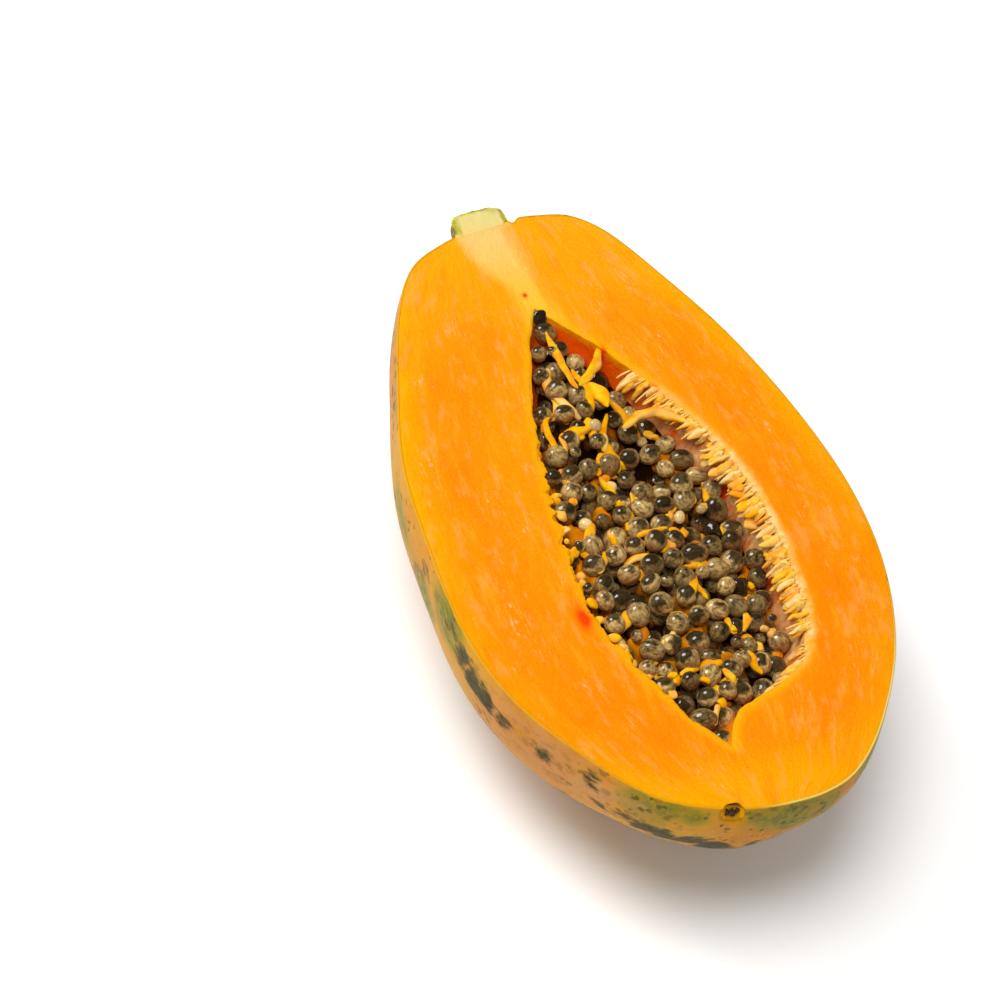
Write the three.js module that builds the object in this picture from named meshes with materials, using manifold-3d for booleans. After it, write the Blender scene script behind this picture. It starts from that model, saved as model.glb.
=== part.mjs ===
// Half of a ripe papaya, lying on its skin with the cut face up.
//
// Three pieces: the fruit half (rind and flesh grown as one, with its seed cavity and blossom scar),
// the stub of the stem, cut lengthwise with the fruit, and the seeds in their bed of soft pulp.
//
// Millimetres, +Z up. +Y points to the stem end and +X across the cut face. The origin is the centre of the
// bottom of the object's box, on the surface that the fruit lies on.

import * as THREE from "three";
import { mergeVertices } from "three/addons/utils/BufferGeometryUtils.js";
import Module from "manifold-3d";

// ---------------------------------------------------------------- driving dimensions

const LENGTH = 175; // the fruit without its stem, from shoulder to blossom end
const CUT_HEIGHT = 55; // the cut face above the surface that the fruit lies on
const AXIS_HEIGHT = 52; // the fruit's own axis, a little below the cut
const BELLY_SCALE = 0.996; // belly radius over flank radius: it reaches 1 mm too low, and is cut flat there
const BELLY_LEAN = 0.0008; // the belly is fuller towards the stem, by this share of its radius per mm
const BELLY_LEAN_FROM = 95;

// The fruit's outline on each side of its axis: [distance from the stem shoulder, radius].
const RIGHT_FLANK = [
  [-0.4, 0], [-0.1, 8], [1.5, 16], [8.6, 23.6], [24, 31.8], [45, 41.2], [70, 48.6], [95, 52.6],
  [118, 51.6], [140, 45.2], [158, 34.6], [169.5, 23.8], [174, 13.5], [LENGTH, 0],
];
const LEFT_FLANK = [
  [-0.4, 0], [1.6, 9], [5, 19], [12, 29.8], [26, 37.4], [46, 44], [70, 50.3], [95, 51.8],
  [118, 51.2], [138, 45.8], [156, 34.4], [167, 24.6], [172.4, 13], [LENGTH, 0],
];

const LOBE_COUNT = 5; // the shallow ribs of a papaya
const LOBE_SHARE = 0.012; // their height over the fruit's radius
const LOBE_SHARE_END = 0.03; // the same at the blossom end, where they draw together
const LOBE_END_LENGTH = 35; // over this length from the blossom end

// The cavity's outline on the cut face: [distance from the shoulder, left edge, right edge].
const CAVITY_OUTLINE = [
  [29.5, -4.8, -2.4], [34.5, -7.2, 1.6], [40, -9.4, 5.6], [47, -10.8, 10.2], [62, -15, 18.4], [80, -18.4, 26.2],
  [100, -20.2, 29.4], [118, -20.6, 28.6], [132, -16.8, 26.2], [143, -12.6, 18.4], [150, -9.6, 3.4], [158, -3.8, -1.6],
];
const CAVITY_DEPTH_SHARE = 0.94; // depth over half its width there
const CAVITY_DEPTH_EXTRA = 1.5;
const CAVITY_WAVE = 0.5; // height of the waves in its uneven wall
const CAVITY_WAVES = 61; // radians of those waves from tip to tip

const STEM_X = -8.2; // the stem and the blossom scar sit off the fruit's axis
const STEM_RADIUS_BASE = 8;
const STEM_RADIUS_TOP = 6.6;
const STEM_ABOVE = 4.4; // how far the stub stands past the shoulder
const STEM_ROOT = 7; // how far it reaches into the fruit
const STEM_GAP = 0.3;
const STEM_RIBS = 5;
const STEM_RIB_SHARE = 0.05; // their height over the stub's radius

const SCAR_RADIUS = 1.9;
const SCAR_DEPTH = 2.2;
const SCAR_BELOW_CUT = 1.9;

const SEED_COUNT = 132; // that show at the top of the pile
const SEED_LENGTH = 6.4;
const SEED_WIDTH = 5.6;
const SEED_PITCH = 6.3; // distance that two seeds keep
const SEED_PASSES = 160; // steps in which the seeds push one another apart
const SEED_PUSH = 0.35; // share of an overlap that each step takes away
const SEED_SINK = 2.6; // how much deeper the lowest of them lie than the highest
const PILE_ABOVE_CUT = 0.4; // the pile's top over the cut face, on the left
const PILE_DROP = 6; // how much lower it lies along the right wall
const HOLLOW_DEPTH = 5; // and in the hollow
const HOLLOW_ALONG = 76;
const HOLLOW_X = 2;
const HOLLOW_REACH = 15;
const BED_BELOW_TOP = 4; // the pulp bed's surface below the pile's top
const WALL_GAP = 0.3; // between the bed and the cavity's wall

const BODY_RINGS = 34;
const BODY_SIDES = 60;
const CAVITY_RINGS = 30;
const CAVITY_SIDES = 24;
const STEM_RINGS = 8;
const STEM_SIDES = 30;
const SEED_RINGS = 4;
const SEED_SIDES = 6;
const BED_CELL = 11; // of the grid that the bed's surface is raised on

// ---------------------------------------------------------------- solids

const FAR = 200; // beyond the object in every direction
const { clamp, lerp, smoothstep } = THREE.MathUtils;

const wasm = await Module();
wasm.setup();

/** A manifold-3d solid from a closed three.js geometry. */
function solid(geometry) {
  const bare = geometry.clone();
  bare.deleteAttribute("normal");
  bare.deleteAttribute("uv");
  const merged = mergeVertices(bare, 1e-4);
  return new wasm.Manifold(
    new wasm.Mesh({
      numProp: 3,
      vertProperties: merged.attributes.position.array,
      triVerts: new Uint32Array(merged.index.array),
    }),
  );
}

/** A three.js geometry from a manifold-3d solid, keeping only its largest body. */
function geometryOf(manifold) {
  const bodies = manifold.decompose();
  const largest = bodies.reduce((a, b) => (a.volume() > b.volume() ? a : b));
  const mesh = largest.getMesh();
  const geometry = new THREE.BufferGeometry();
  geometry.setAttribute("position", new THREE.BufferAttribute(mesh.vertProperties, 3));
  geometry.setIndex(new THREE.BufferAttribute(mesh.triVerts, 1));
  geometry.computeVertexNormals();
  return geometry;
}

/** A closed solid through rings of points, each given by `place(t, angle)`. Both ends close in a point. */
function loft(rings, sides, place) {
  const sphere = new THREE.SphereGeometry(1, sides, rings);
  const position = sphere.attributes.position;
  const uv = sphere.attributes.uv;
  const point = new THREE.Vector3();
  for (let i = 0; i < position.count; i++) {
    const atPole = uv.getY(i) === 0 || uv.getY(i) === 1;
    const around = atPole ? 0 : (uv.getX(i) % 1) * 2 * Math.PI;
    place(1 - uv.getY(i), around, point);
    position.setXYZ(i, point.x, point.y, point.z);
  }
  const made = solid(sphere);
  return made.volume() < 0 ? solid(turnedRound(sphere)) : made;
}

/** The same closed surface with its faces turned the other way. */
function turnedRound(geometry) {
  const index = geometry.index.array;
  for (let i = 0; i < index.length; i += 3) {
    [index[i + 1], index[i + 2]] = [index[i + 2], index[i + 1]];
  }
  return geometry;
}

/** A box solid between two corners. */
function block(low, high) {
  const size = new THREE.Vector3().subVectors(high, low);
  const box = new THREE.BoxGeometry(size.x, size.y, size.z);
  box.translate(low.x + size.x / 2, low.y + size.y / 2, low.z + size.z / 2);
  return solid(box);
}

/** The y of a distance along the fruit: the shoulder is at y = 0 and the blossom end at y = -LENGTH. */
const yOf = (along) => -along;

// ---------------------------------------------------------------- the fruit half

/** The fruit's outline at one angle round its axis, as a curve of (distance along, radius). */
function flankCurve(angle) {
  const toLeft = 0.5 - 0.5 * Math.cos(angle);
  const points = RIGHT_FLANK.map(
    ([along, radius], i) =>
      new THREE.Vector2(lerp(along, LEFT_FLANK[i][0], toLeft), lerp(radius, LEFT_FLANK[i][1], toLeft)),
  );
  return new THREE.SplineCurve(points);
}

/** The whole fruit, with its five shallow ribs. */
function wholeFruit() {
  const curves = new Map();
  const curveAt = (angle) => {
    const key = angle.toFixed(6);
    if (!curves.has(key)) curves.set(key, flankCurve(angle));
    return curves.get(key);
  };
  return loft(BODY_RINGS, BODY_SIDES, (t, angle, point) => {
    const profile = curveAt(angle).getPointAt(t);
    const toEnd = smoothstep(profile.x, LENGTH - LOBE_END_LENGTH, LENGTH);
    const lobe = lerp(LOBE_SHARE, LOBE_SHARE_END, toEnd) * -Math.sin(LOBE_COUNT * angle);
    const fuller = BELLY_SCALE + BELLY_LEAN * (BELLY_LEAN_FROM - profile.x);
    const belly = lerp(1, fuller, Math.max(0, -Math.sin(angle)));
    const radius = Math.max(0, profile.y) * (1 + lobe) * belly;
    point.set(radius * Math.cos(angle), yOf(profile.x), AXIS_HEIGHT + radius * Math.sin(angle));
  });
}

const CAVITY_START = CAVITY_OUTLINE[0][0];
const CAVITY_END = CAVITY_OUTLINE.at(-1)[0];
const WIDEST_HALF = Math.max(...CAVITY_OUTLINE.map(([, left, right]) => (right - left) / 2));

const cavityEdges = new THREE.CubicInterpolant(
  CAVITY_OUTLINE.map((row) => row[0]),
  CAVITY_OUTLINE.flatMap((row) => row.slice(1)),
  2,
);

/** The cavity's section at a distance along the fruit: its middle, half width and depth. */
function cavitySection(along) {
  const [left, right] = cavityEdges.evaluate(clamp(along, CAVITY_START, CAVITY_END));
  const offCentre = (2 * along - CAVITY_START - CAVITY_END) / (CAVITY_END - CAVITY_START);
  const taper = Math.sqrt(Math.max(0, 1 - offCentre ** 8)); // rounds the two tips
  const half = ((right - left) / 2) * taper;
  return { middle: (left + right) / 2, half, depth: half * CAVITY_DEPTH_SHARE + CAVITY_DEPTH_EXTRA * taper };
}

/** The cavity as a solid, `inset` inside its wall. It goes as far above the cut face as below it. */
function cavity(inset) {
  return loft(CAVITY_RINGS, CAVITY_SIDES, (t, angle, point) => {
    const along = lerp(CAVITY_START + inset, CAVITY_END - inset, t);
    const { middle, half, depth } = cavitySection(along);
    const wave = CAVITY_WAVE * Math.sin(CAVITY_WAVES * t) * Math.cos(3 * angle) * Math.sin(Math.PI * t);
    const across = Math.max(0, half + wave - inset);
    const down = Math.max(0, depth - inset);
    point.set(middle + across * Math.cos(angle), yOf(along), CUT_HEIGHT + down * Math.sin(angle));
  });
}

/** The stem's stub, a ribbed taper, `clearance` larger all round. */
function stemStub(clearance) {
  return loft(STEM_RINGS, STEM_SIDES, (t, angle, point) => {
    const rim = Math.sin(Math.PI * t) ** 0.25; // a flat-ended, round-edged barrel
    const along = lerp(STEM_ROOT + clearance, -STEM_ABOVE - clearance, t);
    const rib = 1 + STEM_RIB_SHARE * Math.cos(STEM_RIBS * angle);
    const radius = (lerp(STEM_RADIUS_BASE, STEM_RADIUS_TOP, t) * rib + clearance) * rim;
    point.set(STEM_X + radius * Math.cos(angle), yOf(along), CUT_HEIGHT + radius * Math.sin(angle));
  });
}

/** The dark pit that the flower left. */
function blossomScar() {
  const pit = new THREE.CylinderGeometry(SCAR_RADIUS, SCAR_RADIUS * 0.8, SCAR_DEPTH * 2, 9);
  pit.translate(STEM_X, yOf(LENGTH - 1), CUT_HEIGHT - SCAR_BELOW_CUT);
  return solid(pit);
}

const aboveCut = block(new THREE.Vector3(-FAR, -FAR, CUT_HEIGHT), new THREE.Vector3(FAR, FAR, FAR));
const belowRest = block(new THREE.Vector3(-FAR, -FAR, -FAR), new THREE.Vector3(FAR, FAR, 0));

const fruitHalf = wholeFruit()
  .subtract(aboveCut)
  .subtract(belowRest)
  .subtract(cavity(0))
  .subtract(stemStub(STEM_GAP))
  .subtract(blossomScar());

const stem = stemStub(0).subtract(aboveCut);

// ---------------------------------------------------------------- the seeds

/** The top of the pile of seeds: at the cut face on the left, lower on the right and in the hollow. */
function pileTop(x, along) {
  const { middle, half } = cavitySection(along);
  const drop = PILE_DROP * smoothstep((x - middle) / half, -0.2, 1);
  const away = Math.hypot(x - HOLLOW_X, along - HOLLOW_ALONG) / HOLLOW_REACH;
  return CUT_HEIGHT + PILE_ABOVE_CUT - drop - HOLLOW_DEPTH * Math.exp(-away * away);
}

/** The fractional parts of a quasi-random sequence: numbers that fill the unit cube evenly. */
const spread = (i) => [(i * 0.8191725134) % 1, (i * 0.6710436067) % 1, (i * 0.5497004779) % 1];

/** Moves a seed's middle to the nearest place in the cavity, at its own depth under the pile's top. */
function settle(seed) {
  const radius = SEED_WIDTH / 2;
  seed.along = clamp(seed.along, CAVITY_START + 2 * radius, CAVITY_END - 1.5 * radius);
  const { middle, half, depth } = cavitySection(seed.along);
  const down = Math.max(0, CUT_HEIGHT - seed.z) / Math.max(radius, depth);
  const reach = Math.max(0.2, half * Math.sqrt(Math.max(0, 1 - down * down)) - radius);
  seed.x = clamp(seed.x, middle - reach, middle + reach);
  seed.z = pileTop(seed.x, seed.along) - radius - SEED_SINK * seed.sink;
}

/** The middles of the upper seeds: spread over the cavity, then pushed apart until they lie side by side. */
function seedMiddles() {
  const seeds = [];
  for (let i = 1; seeds.length < SEED_COUNT; i++) {
    const [a, b, c] = spread(i);
    const along = lerp(CAVITY_START, CAVITY_END, a);
    const { middle, half } = cavitySection(along);
    const x = middle + WIDEST_HALF * (2 * b - 1);
    if (Math.abs(x - middle) > half) continue;
    const seed = { x, along, z: CUT_HEIGHT, sink: c };
    settle(seed);
    seeds.push(seed);
  }
  for (let pass = 0; pass < SEED_PASSES; pass++) {
    const moves = seeds.map(() => new THREE.Vector2());
    seeds.forEach((p, i) => {
      for (let j = i + 1; j < seeds.length; j++) {
        const q = seeds[j];
        const distance = Math.hypot(p.x - q.x, p.along - q.along, p.z - q.z);
        if (distance >= SEED_PITCH) continue;
        const push = new THREE.Vector2(p.x - q.x, p.along - q.along);
        push.setLength(SEED_PUSH * (SEED_PITCH - distance));
        moves[i].add(push);
        moves[j].sub(push);
      }
    });
    seeds.forEach((seed, i) => {
      seed.x += moves[i].x;
      seed.along += moves[i].y;
      settle(seed);
    });
  }
  return seeds;
}

/** The bed of pulp that the seeds stand in: the cavity's fill up to a little below the pile's top. */
function pulpBed() {
  const columns = Math.ceil((2 * WIDEST_HALF + BED_CELL) / BED_CELL);
  const rows = Math.ceil((CAVITY_END - CAVITY_START + BED_CELL) / BED_CELL);
  const fill = new THREE.BoxGeometry(columns * BED_CELL, rows * BED_CELL, CUT_HEIGHT, columns, rows, 1);
  fill.translate(0, yOf((CAVITY_START + CAVITY_END) / 2), CUT_HEIGHT / 2);
  const position = fill.attributes.position;
  for (let i = 0; i < position.count; i++) {
    if (position.getZ(i) < CUT_HEIGHT / 2) continue;
    position.setZ(i, pileTop(position.getX(i), -position.getY(i)) - BED_BELOW_TOP);
  }
  return cavity(WALL_GAP).intersect(solid(fill));
}

/** One seed, longer than it is wide, turned in its own way. */
function seedSolid({ x, along, z }, i) {
  const ball = new THREE.SphereGeometry(SEED_WIDTH / 2, SEED_SIDES, SEED_RINGS);
  ball.scale(1, 1, SEED_LENGTH / SEED_WIDTH);
  const [a, b] = spread(i + 1);
  ball.rotateX(Math.acos(2 * a - 1));
  ball.rotateZ(2 * Math.PI * b);
  ball.translate(x, yOf(along), z);
  return solid(ball);
}

const seedMass = seedMiddles()
  .reduce((pile, seed, i) => pile.add(seedSolid(seed, i)), pulpBed())
  .intersect(cavity(WALL_GAP));

// ---------------------------------------------------------------- the object

/** A named mesh of one solid. */
function piece(name, manifold, material) {
  const mesh = new THREE.Mesh(geometryOf(manifold), material);
  mesh.name = name;
  return mesh;
}

const papayaHalf = new THREE.Group();
papayaHalf.add(
  piece("fruit_half", fruitHalf, new THREE.MeshStandardMaterial({ color: 0xfd960a, roughness: 0.45 })),
  piece("stem_stub", stem, new THREE.MeshStandardMaterial({ color: 0xf0d878, roughness: 0.7 })),
  piece("seeds", seedMass, new THREE.MeshStandardMaterial({ color: 0x6b5534, roughness: 0.2 })),
);

// The origin goes to the middle of the box, on the surface that the fruit lies on.
const box = new THREE.Box3().setFromObject(papayaHalf);
papayaHalf.position.set(-(box.min.x + box.max.x) / 2, -(box.min.y + box.max.y) / 2, 0);

export default papayaHalf;
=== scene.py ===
"""Half of a ripe papaya, lying on its skin with the cut face up.

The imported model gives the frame. Each piece here takes the form of a node of it and gives that node its
finish: the flesh with its cut face and cavity wall, the skin round it, the seeds in two layers, the pulp
that holds them, the stub of the stem and the blossom scar.

Sizes are millimetres in fruit coordinates until a mesh is written: x across the cut face, `along` from the
shoulder at the stem to the blossom end, and z up from the surface that the half lies on.
"""

import logging
import math
import random
from collections.abc import Callable, Sequence
from dataclasses import dataclass
from enum import Enum
from functools import cached_property

import bmesh
import bpy
import numpy as np
from mathutils import Matrix, Vector, noise
from mathutils.kdtree import KDTree


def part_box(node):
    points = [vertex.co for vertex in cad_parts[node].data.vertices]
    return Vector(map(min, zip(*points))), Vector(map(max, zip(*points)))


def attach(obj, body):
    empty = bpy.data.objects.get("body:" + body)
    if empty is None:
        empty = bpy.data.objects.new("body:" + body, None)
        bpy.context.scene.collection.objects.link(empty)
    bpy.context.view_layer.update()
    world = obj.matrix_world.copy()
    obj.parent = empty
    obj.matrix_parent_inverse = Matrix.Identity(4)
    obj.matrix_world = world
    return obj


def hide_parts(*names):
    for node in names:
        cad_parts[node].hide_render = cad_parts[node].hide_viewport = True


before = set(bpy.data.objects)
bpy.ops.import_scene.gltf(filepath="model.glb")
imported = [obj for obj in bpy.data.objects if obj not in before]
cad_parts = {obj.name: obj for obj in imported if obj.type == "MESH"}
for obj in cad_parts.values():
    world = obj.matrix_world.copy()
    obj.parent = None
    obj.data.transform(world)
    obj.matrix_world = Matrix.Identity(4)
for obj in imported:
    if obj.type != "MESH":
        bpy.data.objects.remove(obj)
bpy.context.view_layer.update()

log = logging.getLogger("papaya")

MM = 0.001
BODY = "root"
LIMB_STEPS = 32
WAVER_SHIFTS = (Vector((9.3, -1.5, -7.9)), Vector((31.4, 17.2, 5.3)), Vector((-12.7, 41.9, 23.1)))

Color = tuple[float, float, float, float]
Seed = tuple[np.ndarray, float, float, float]
Path = Sequence[tuple[float, float, float]]
WARM: Color = (1.0, 0.7, 0.25, 1.0)


# ------------------------------------------------------------------------------------------------ helpers


def smoothstep(value: np.ndarray | float, low: float, high: float) -> np.ndarray | float:
    """Rise smoothly from 0 at low to 1 at high.

    Args:
        value: where to read the step.
        low: where it starts.
        high: where it ends; lower than low for a falling step.

    Returns:
        The step's height at each value.
    """
    share = np.clip((value - low) / (high - low), 0.0, 1.0)
    return share * share * (3.0 - 2.0 * share)


def lerp(a: float, b: float, share: float) -> float:
    """Return the value that lies a share of the way from a to b."""
    return a + (b - a) * share


def rgb(red: int, green: int, blue: int, gain: float = 1.0) -> Color:
    """Turn an 8-bit display colour into a linear one.

    Args:
        red: 0 to 255.
        green: 0 to 255.
        blue: 0 to 255.
        gain: brightness factor on the linear colour.

    Returns:
        Red, green, blue and alpha.
    """
    linear = []
    for channel in (red, green, blue):
        value = channel / 255.0
        linear.append(gain * (value / 12.92 if value <= 0.04045 else ((value + 0.055) / 1.055) ** 2.4))
    return (linear[0], linear[1], linear[2], 1.0)


def spline(points: Path, count: int) -> np.ndarray:
    """Sample a smooth curve through points.

    Args:
        points: what the curve passes through.
        count: how many samples.

    Returns:
        One row per sample.
    """
    known = np.array(points, float)
    last = len(known) - 1
    place = np.linspace(0.0, last, count)
    index = np.minimum(place.astype(int), last - 1)
    w = (place - index)[:, None]
    p0, p1 = known[np.where(index == 0, 0, index - 1)], known[index]
    p2, p3 = known[index + 1], known[np.minimum(index + 2, last)]
    v0, v1 = (p2 - p0) / 2, (p3 - p1) / 2
    return (2 * p1 - 2 * p2 + v0 + v1) * w**3 + (-3 * p1 + 3 * p2 - 2 * v0 - v1) * w**2 + v0 * w + p1


def spread(index: int) -> tuple[float, float, float]:
    """Return three numbers of a quasi-random sequence that fills the unit cube evenly."""
    return (index * 0.8191725134) % 1, (index * 0.6710436067) % 1, (index * 0.5497004779) % 1


def rough(x: float, y: float, z: float, size: float, octaves: int = 3) -> float:
    """Return a smooth random height between about -1 and 1 whose bumps are size millimetres wide."""
    return noise.fractal(Vector((x, y, z)) / size, 1.0, 2.0, octaves)


# ------------------------------------------------------------------------------------------------ form


@dataclass
class FruitForm:
    """The half's outer form."""

    length: float = 175.0
    cut_height: float = 55.0
    axis_height: float = 52.0
    belly_scale: float = 0.996
    belly_lean: float = 0.0008
    belly_lean_from: float = 95.0
    lobe_count: int = 5
    lobe_share: float = 0.012
    lobe_share_end: float = 0.03
    lobe_end_length: float = 35.0
    centre: float = 92.0
    right_flank: Path = (
        (-0.4, 0), (-0.1, 8), (1.5, 16), (8.6, 23.6), (24, 31.8), (45, 41.2), (70, 48.6), (95, 52.6),
        (118, 51.6), (140, 45.2), (158, 34.6), (169.5, 23.8), (174, 13.5), (175, 0),
    )
    left_flank: Path = (
        (-0.4, 0), (1.6, 9), (5, 19), (12, 29.8), (26, 37.4), (46, 44), (70, 50.3), (95, 51.8),
        (118, 51.2), (138, 45.8), (156, 34.4), (167, 24.6), (172.4, 13), (175, 0),
    )
    table_angles: int = 240
    table_turns: int = 400

    @cached_property
    def reach_table(self) -> np.ndarray:
        """The surface's distance from the centre, by the angle round the axis and that from the stem."""
        rows = []
        turns = np.linspace(0.0, math.pi, self.table_turns + 1)
        for angle in np.linspace(-math.pi, math.pi, self.table_angles + 1):
            to_left = 0.5 - 0.5 * math.cos(angle)
            right, left = np.array(self.right_flank), np.array(self.left_flank)
            along, radius = spline(right + (left - right) * to_left, 600).T
            to_end = smoothstep(along, self.length - self.lobe_end_length, self.length)
            lobe = lerp(self.lobe_share, self.lobe_share_end, to_end) * -math.sin(self.lobe_count * angle)
            fuller = self.belly_scale + self.belly_lean * (self.belly_lean_from - along)
            belly = lerp(1.0, fuller, max(0.0, -math.sin(angle)))
            radius = np.maximum(radius, 0.0) * (1.0 + lobe) * belly
            turn = np.maximum.accumulate(np.arctan2(radius, self.centre - along))
            rows.append(np.interp(turns, turn, np.hypot(radius, along - self.centre)))
        return np.array(rows)

    def beyond(self, points: np.ndarray) -> np.ndarray:
        """Say how far points lie outside the surface, in about millimetres; inside is negative."""
        x, along, up = points[:, 0], points[:, 1], points[:, 2] - self.axis_height
        radius = np.hypot(x, up)
        row = (np.arctan2(up, x) / (2 * math.pi) + 0.5) * self.table_angles
        column = np.arctan2(radius, self.centre - along) / math.pi * self.table_turns
        i = np.clip(row.astype(int), 0, self.table_angles - 1)
        j = np.clip(column.astype(int), 0, self.table_turns - 1)
        a, b = row - i, column - j
        table = self.reach_table
        low = table[i, j] * (1 - b) + table[i, j + 1] * b
        high = table[i + 1, j] * (1 - b) + table[i + 1, j + 1] * b
        return np.hypot(radius, along - self.centre) - (low * (1 - a) + high * a)


@dataclass
class CavityForm:
    """The seed cavity in the half's cut face."""

    cut_height: float = 55.0
    depth_share: float = 0.94
    depth_extra: float = 1.5
    outline: Path = (
        (29.5, -4.8, -2.4), (34.5, -7.2, 1.6), (40, -9.4, 5.6), (47, -10.8, 10.2), (62, -15, 18.4),
        (80, -18.4, 26.2), (100, -20.2, 29.4), (118, -20.6, 28.6), (132, -16.8, 26.2), (143, -12.6, 18.4),
        (150, -9.6, 3.4), (158, -3.8, -1.6),
    )

    @property
    def start(self) -> float:
        """Where the cavity's tip nearest the stem lies along the fruit."""
        return self.outline[0][0]

    @property
    def end(self) -> float:
        """Where its other tip lies."""
        return self.outline[-1][0]

    @property
    def widest_half(self) -> float:
        """Half its width where it is widest."""
        return max((right - left) / 2 for _, left, right in self.outline)

    @cached_property
    def edges(self) -> np.ndarray:
        """A dense table of its outline: along, left edge and right edge."""
        table = spline(self.outline, 900)
        table[:, 0] = np.maximum.accumulate(table[:, 0])
        return table

    def section(self, along: np.ndarray | float) -> tuple[np.ndarray, np.ndarray, np.ndarray]:
        """Return the cavity's middle, half width and depth at places along the fruit."""
        table = self.edges
        left = np.interp(along, table[:, 0], table[:, 1])
        right = np.interp(along, table[:, 0], table[:, 2])
        off = (2 * np.asarray(along, float) - self.start - self.end) / (self.end - self.start)
        taper = np.sqrt(np.maximum(0.0, 1.0 - off**8))
        half = (right - left) / 2 * taper
        return (left + right) / 2, half, half * self.depth_share + self.depth_extra * taper

    def beyond(self, points: np.ndarray) -> np.ndarray:
        """Return a number for each point that is negative inside the cavity and positive outside."""
        middle, half, depth = self.section(points[:, 1])
        across = (points[:, 0] - middle) / np.maximum(half, 1e-3)
        down = (self.cut_height - points[:, 2]) / np.maximum(depth, 1e-3)
        outside = (points[:, 1] < self.start) | (points[:, 1] > self.end)
        return np.where(outside, 1.0, across**2 + down**2 - 1.0)


@dataclass
class Bowl:
    """Finds surfaces by the direction in which they are seen from a point in the cavity's mouth."""

    fruit: FruitForm
    cavity: CavityForm
    x: float = 3.0
    centre_along: float = 95.0
    steps: int = 26
    farthest: float = 160.0

    @property
    def origin(self) -> np.ndarray:
        """The point that the directions start from."""
        return np.array([self.x, self.centre_along, self.fruit.cut_height])

    def reach(
        self, turn: np.ndarray, dip: np.ndarray, beyond: Callable[[np.ndarray], np.ndarray]
    ) -> np.ndarray:
        """Find how far a surface lies in each direction.

        Args:
            turn: angles round the vertical.
            dip: angles down from the level.
            beyond: the surface, as a function that is negative inside it.

        Returns:
            Distances from the origin.
        """
        way = self.way(turn, dip)
        low, high = np.zeros(len(way)), np.full(len(way), self.farthest)
        for _ in range(self.steps):
            middle = (low + high) / 2
            inside = beyond(self.origin + way * middle[:, None]) < 0
            low, high = np.where(inside, middle, low), np.where(inside, high, middle)
        return (low + high) / 2

    def way(self, turn: np.ndarray, dip: np.ndarray) -> np.ndarray:
        """Return the unit vectors of directions."""
        return np.stack([np.cos(dip) * np.cos(turn), np.cos(dip) * np.sin(turn), -np.sin(dip)], axis=1)

    def point(self, turn: np.ndarray, dip: np.ndarray, distance: np.ndarray) -> np.ndarray:
        """Return the points at distances in directions."""
        return self.origin + self.way(turn, dip) * distance[:, None]


# ------------------------------------------------------------------------------------------------ meshes


@dataclass
class Site:
    """Where fruit coordinates lie in the frame, and the making of finished pieces there."""

    x: float
    shoulder: float

    @classmethod
    def of(cls, fruit: FruitForm) -> "Site":
        """Read the fruit's place from its node's box."""
        low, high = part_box("fruit_half")
        angles = np.linspace(-math.pi, math.pi, fruit.table_angles + 1)
        sines = np.sin(np.linspace(0.0, math.pi, fruit.table_turns + 1))
        across = fruit.reach_table * sines * np.cos(angles)[:, None]
        middle = (across.min() + across.max()) / 2
        return cls((low.x + high.x) / 2 / MM - middle, low.y / MM + fruit.length)

    def place(self, points: np.ndarray) -> np.ndarray:
        """Turn fruit coordinates in millimetres into frame coordinates in metres."""
        return np.stack([points[:, 0] + self.x, self.shoulder - points[:, 1], points[:, 2]], axis=1) * MM

    def vector(self, x: float, along: float, z: float) -> Vector:
        """Turn one point into frame coordinates in metres."""
        return Vector(self.place(np.array([[x, along, z]], float))[0])

    def write(self, mesh: bpy.types.Mesh, points: np.ndarray) -> None:
        """Move the mesh's points to fruit coordinates."""
        mesh.vertices.foreach_set("co", self.place(points).astype(np.float32).ravel())
        mesh.update()


def mesh_from(bm: bmesh.types.BMesh, name: str) -> bpy.types.Mesh:
    """Write a bmesh to a smooth-shaded mesh and free it."""
    for face in bm.faces:
        face.smooth = True
    mesh = bpy.data.meshes.new(name)
    bm.to_mesh(mesh)
    bm.free()
    return mesh


def ball(columns: int, rings: int, name: str) -> tuple[bpy.types.Mesh, np.ndarray, np.ndarray]:
    """Make a closed ball of many faces, to be wrapped round a form.

    Args:
        columns: faces round it.
        rings: faces from its top to its bottom.
        name: the mesh's name.

    Returns:
        Its mesh, and for each point the number of its ring from the top and its angle round the ball.
    """
    bm = bmesh.new()
    bmesh.ops.create_grid(bm, x_segments=columns, y_segments=rings, size=1.0)
    for vert in bm.verts:
        turn, polar = math.pi * vert.co.x, math.pi / 2 * (1 - vert.co.y)
        level = math.sin(polar)
        vert.co = (level * math.cos(turn), level * math.sin(turn), math.cos(polar))
    bmesh.ops.remove_doubles(bm, verts=bm.verts, dist=1e-5)
    mesh = mesh_from(bm, name)
    flat = np.empty(len(mesh.vertices) * 3)
    mesh.vertices.foreach_get("co", flat)
    points = flat.reshape(-1, 3)
    polar = np.arccos(np.clip(points[:, 2], -1.0, 1.0))
    return mesh, np.round(polar / math.pi * rings).astype(int), np.arctan2(points[:, 1], points[:, 0])


def turn_out(mesh: bpy.types.Mesh) -> None:
    """Turn the faces of a closed mesh outwards."""
    bm = bmesh.new()
    bm.from_mesh(mesh)
    bmesh.ops.recalc_face_normals(bm, faces=bm.faces)
    bm.to_mesh(mesh)
    bm.free()


def paint(mesh: bpy.types.Mesh, name: str, values: np.ndarray) -> None:
    """Store one number or vector per point under a name that a material reads."""
    kind, key = ("FLOAT", "value") if values.ndim == 1 else ("FLOAT_VECTOR", "vector")
    layer = mesh.attributes.new(name, kind, "POINT")
    layer.data.foreach_set(key, values.astype(np.float32).ravel())


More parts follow.
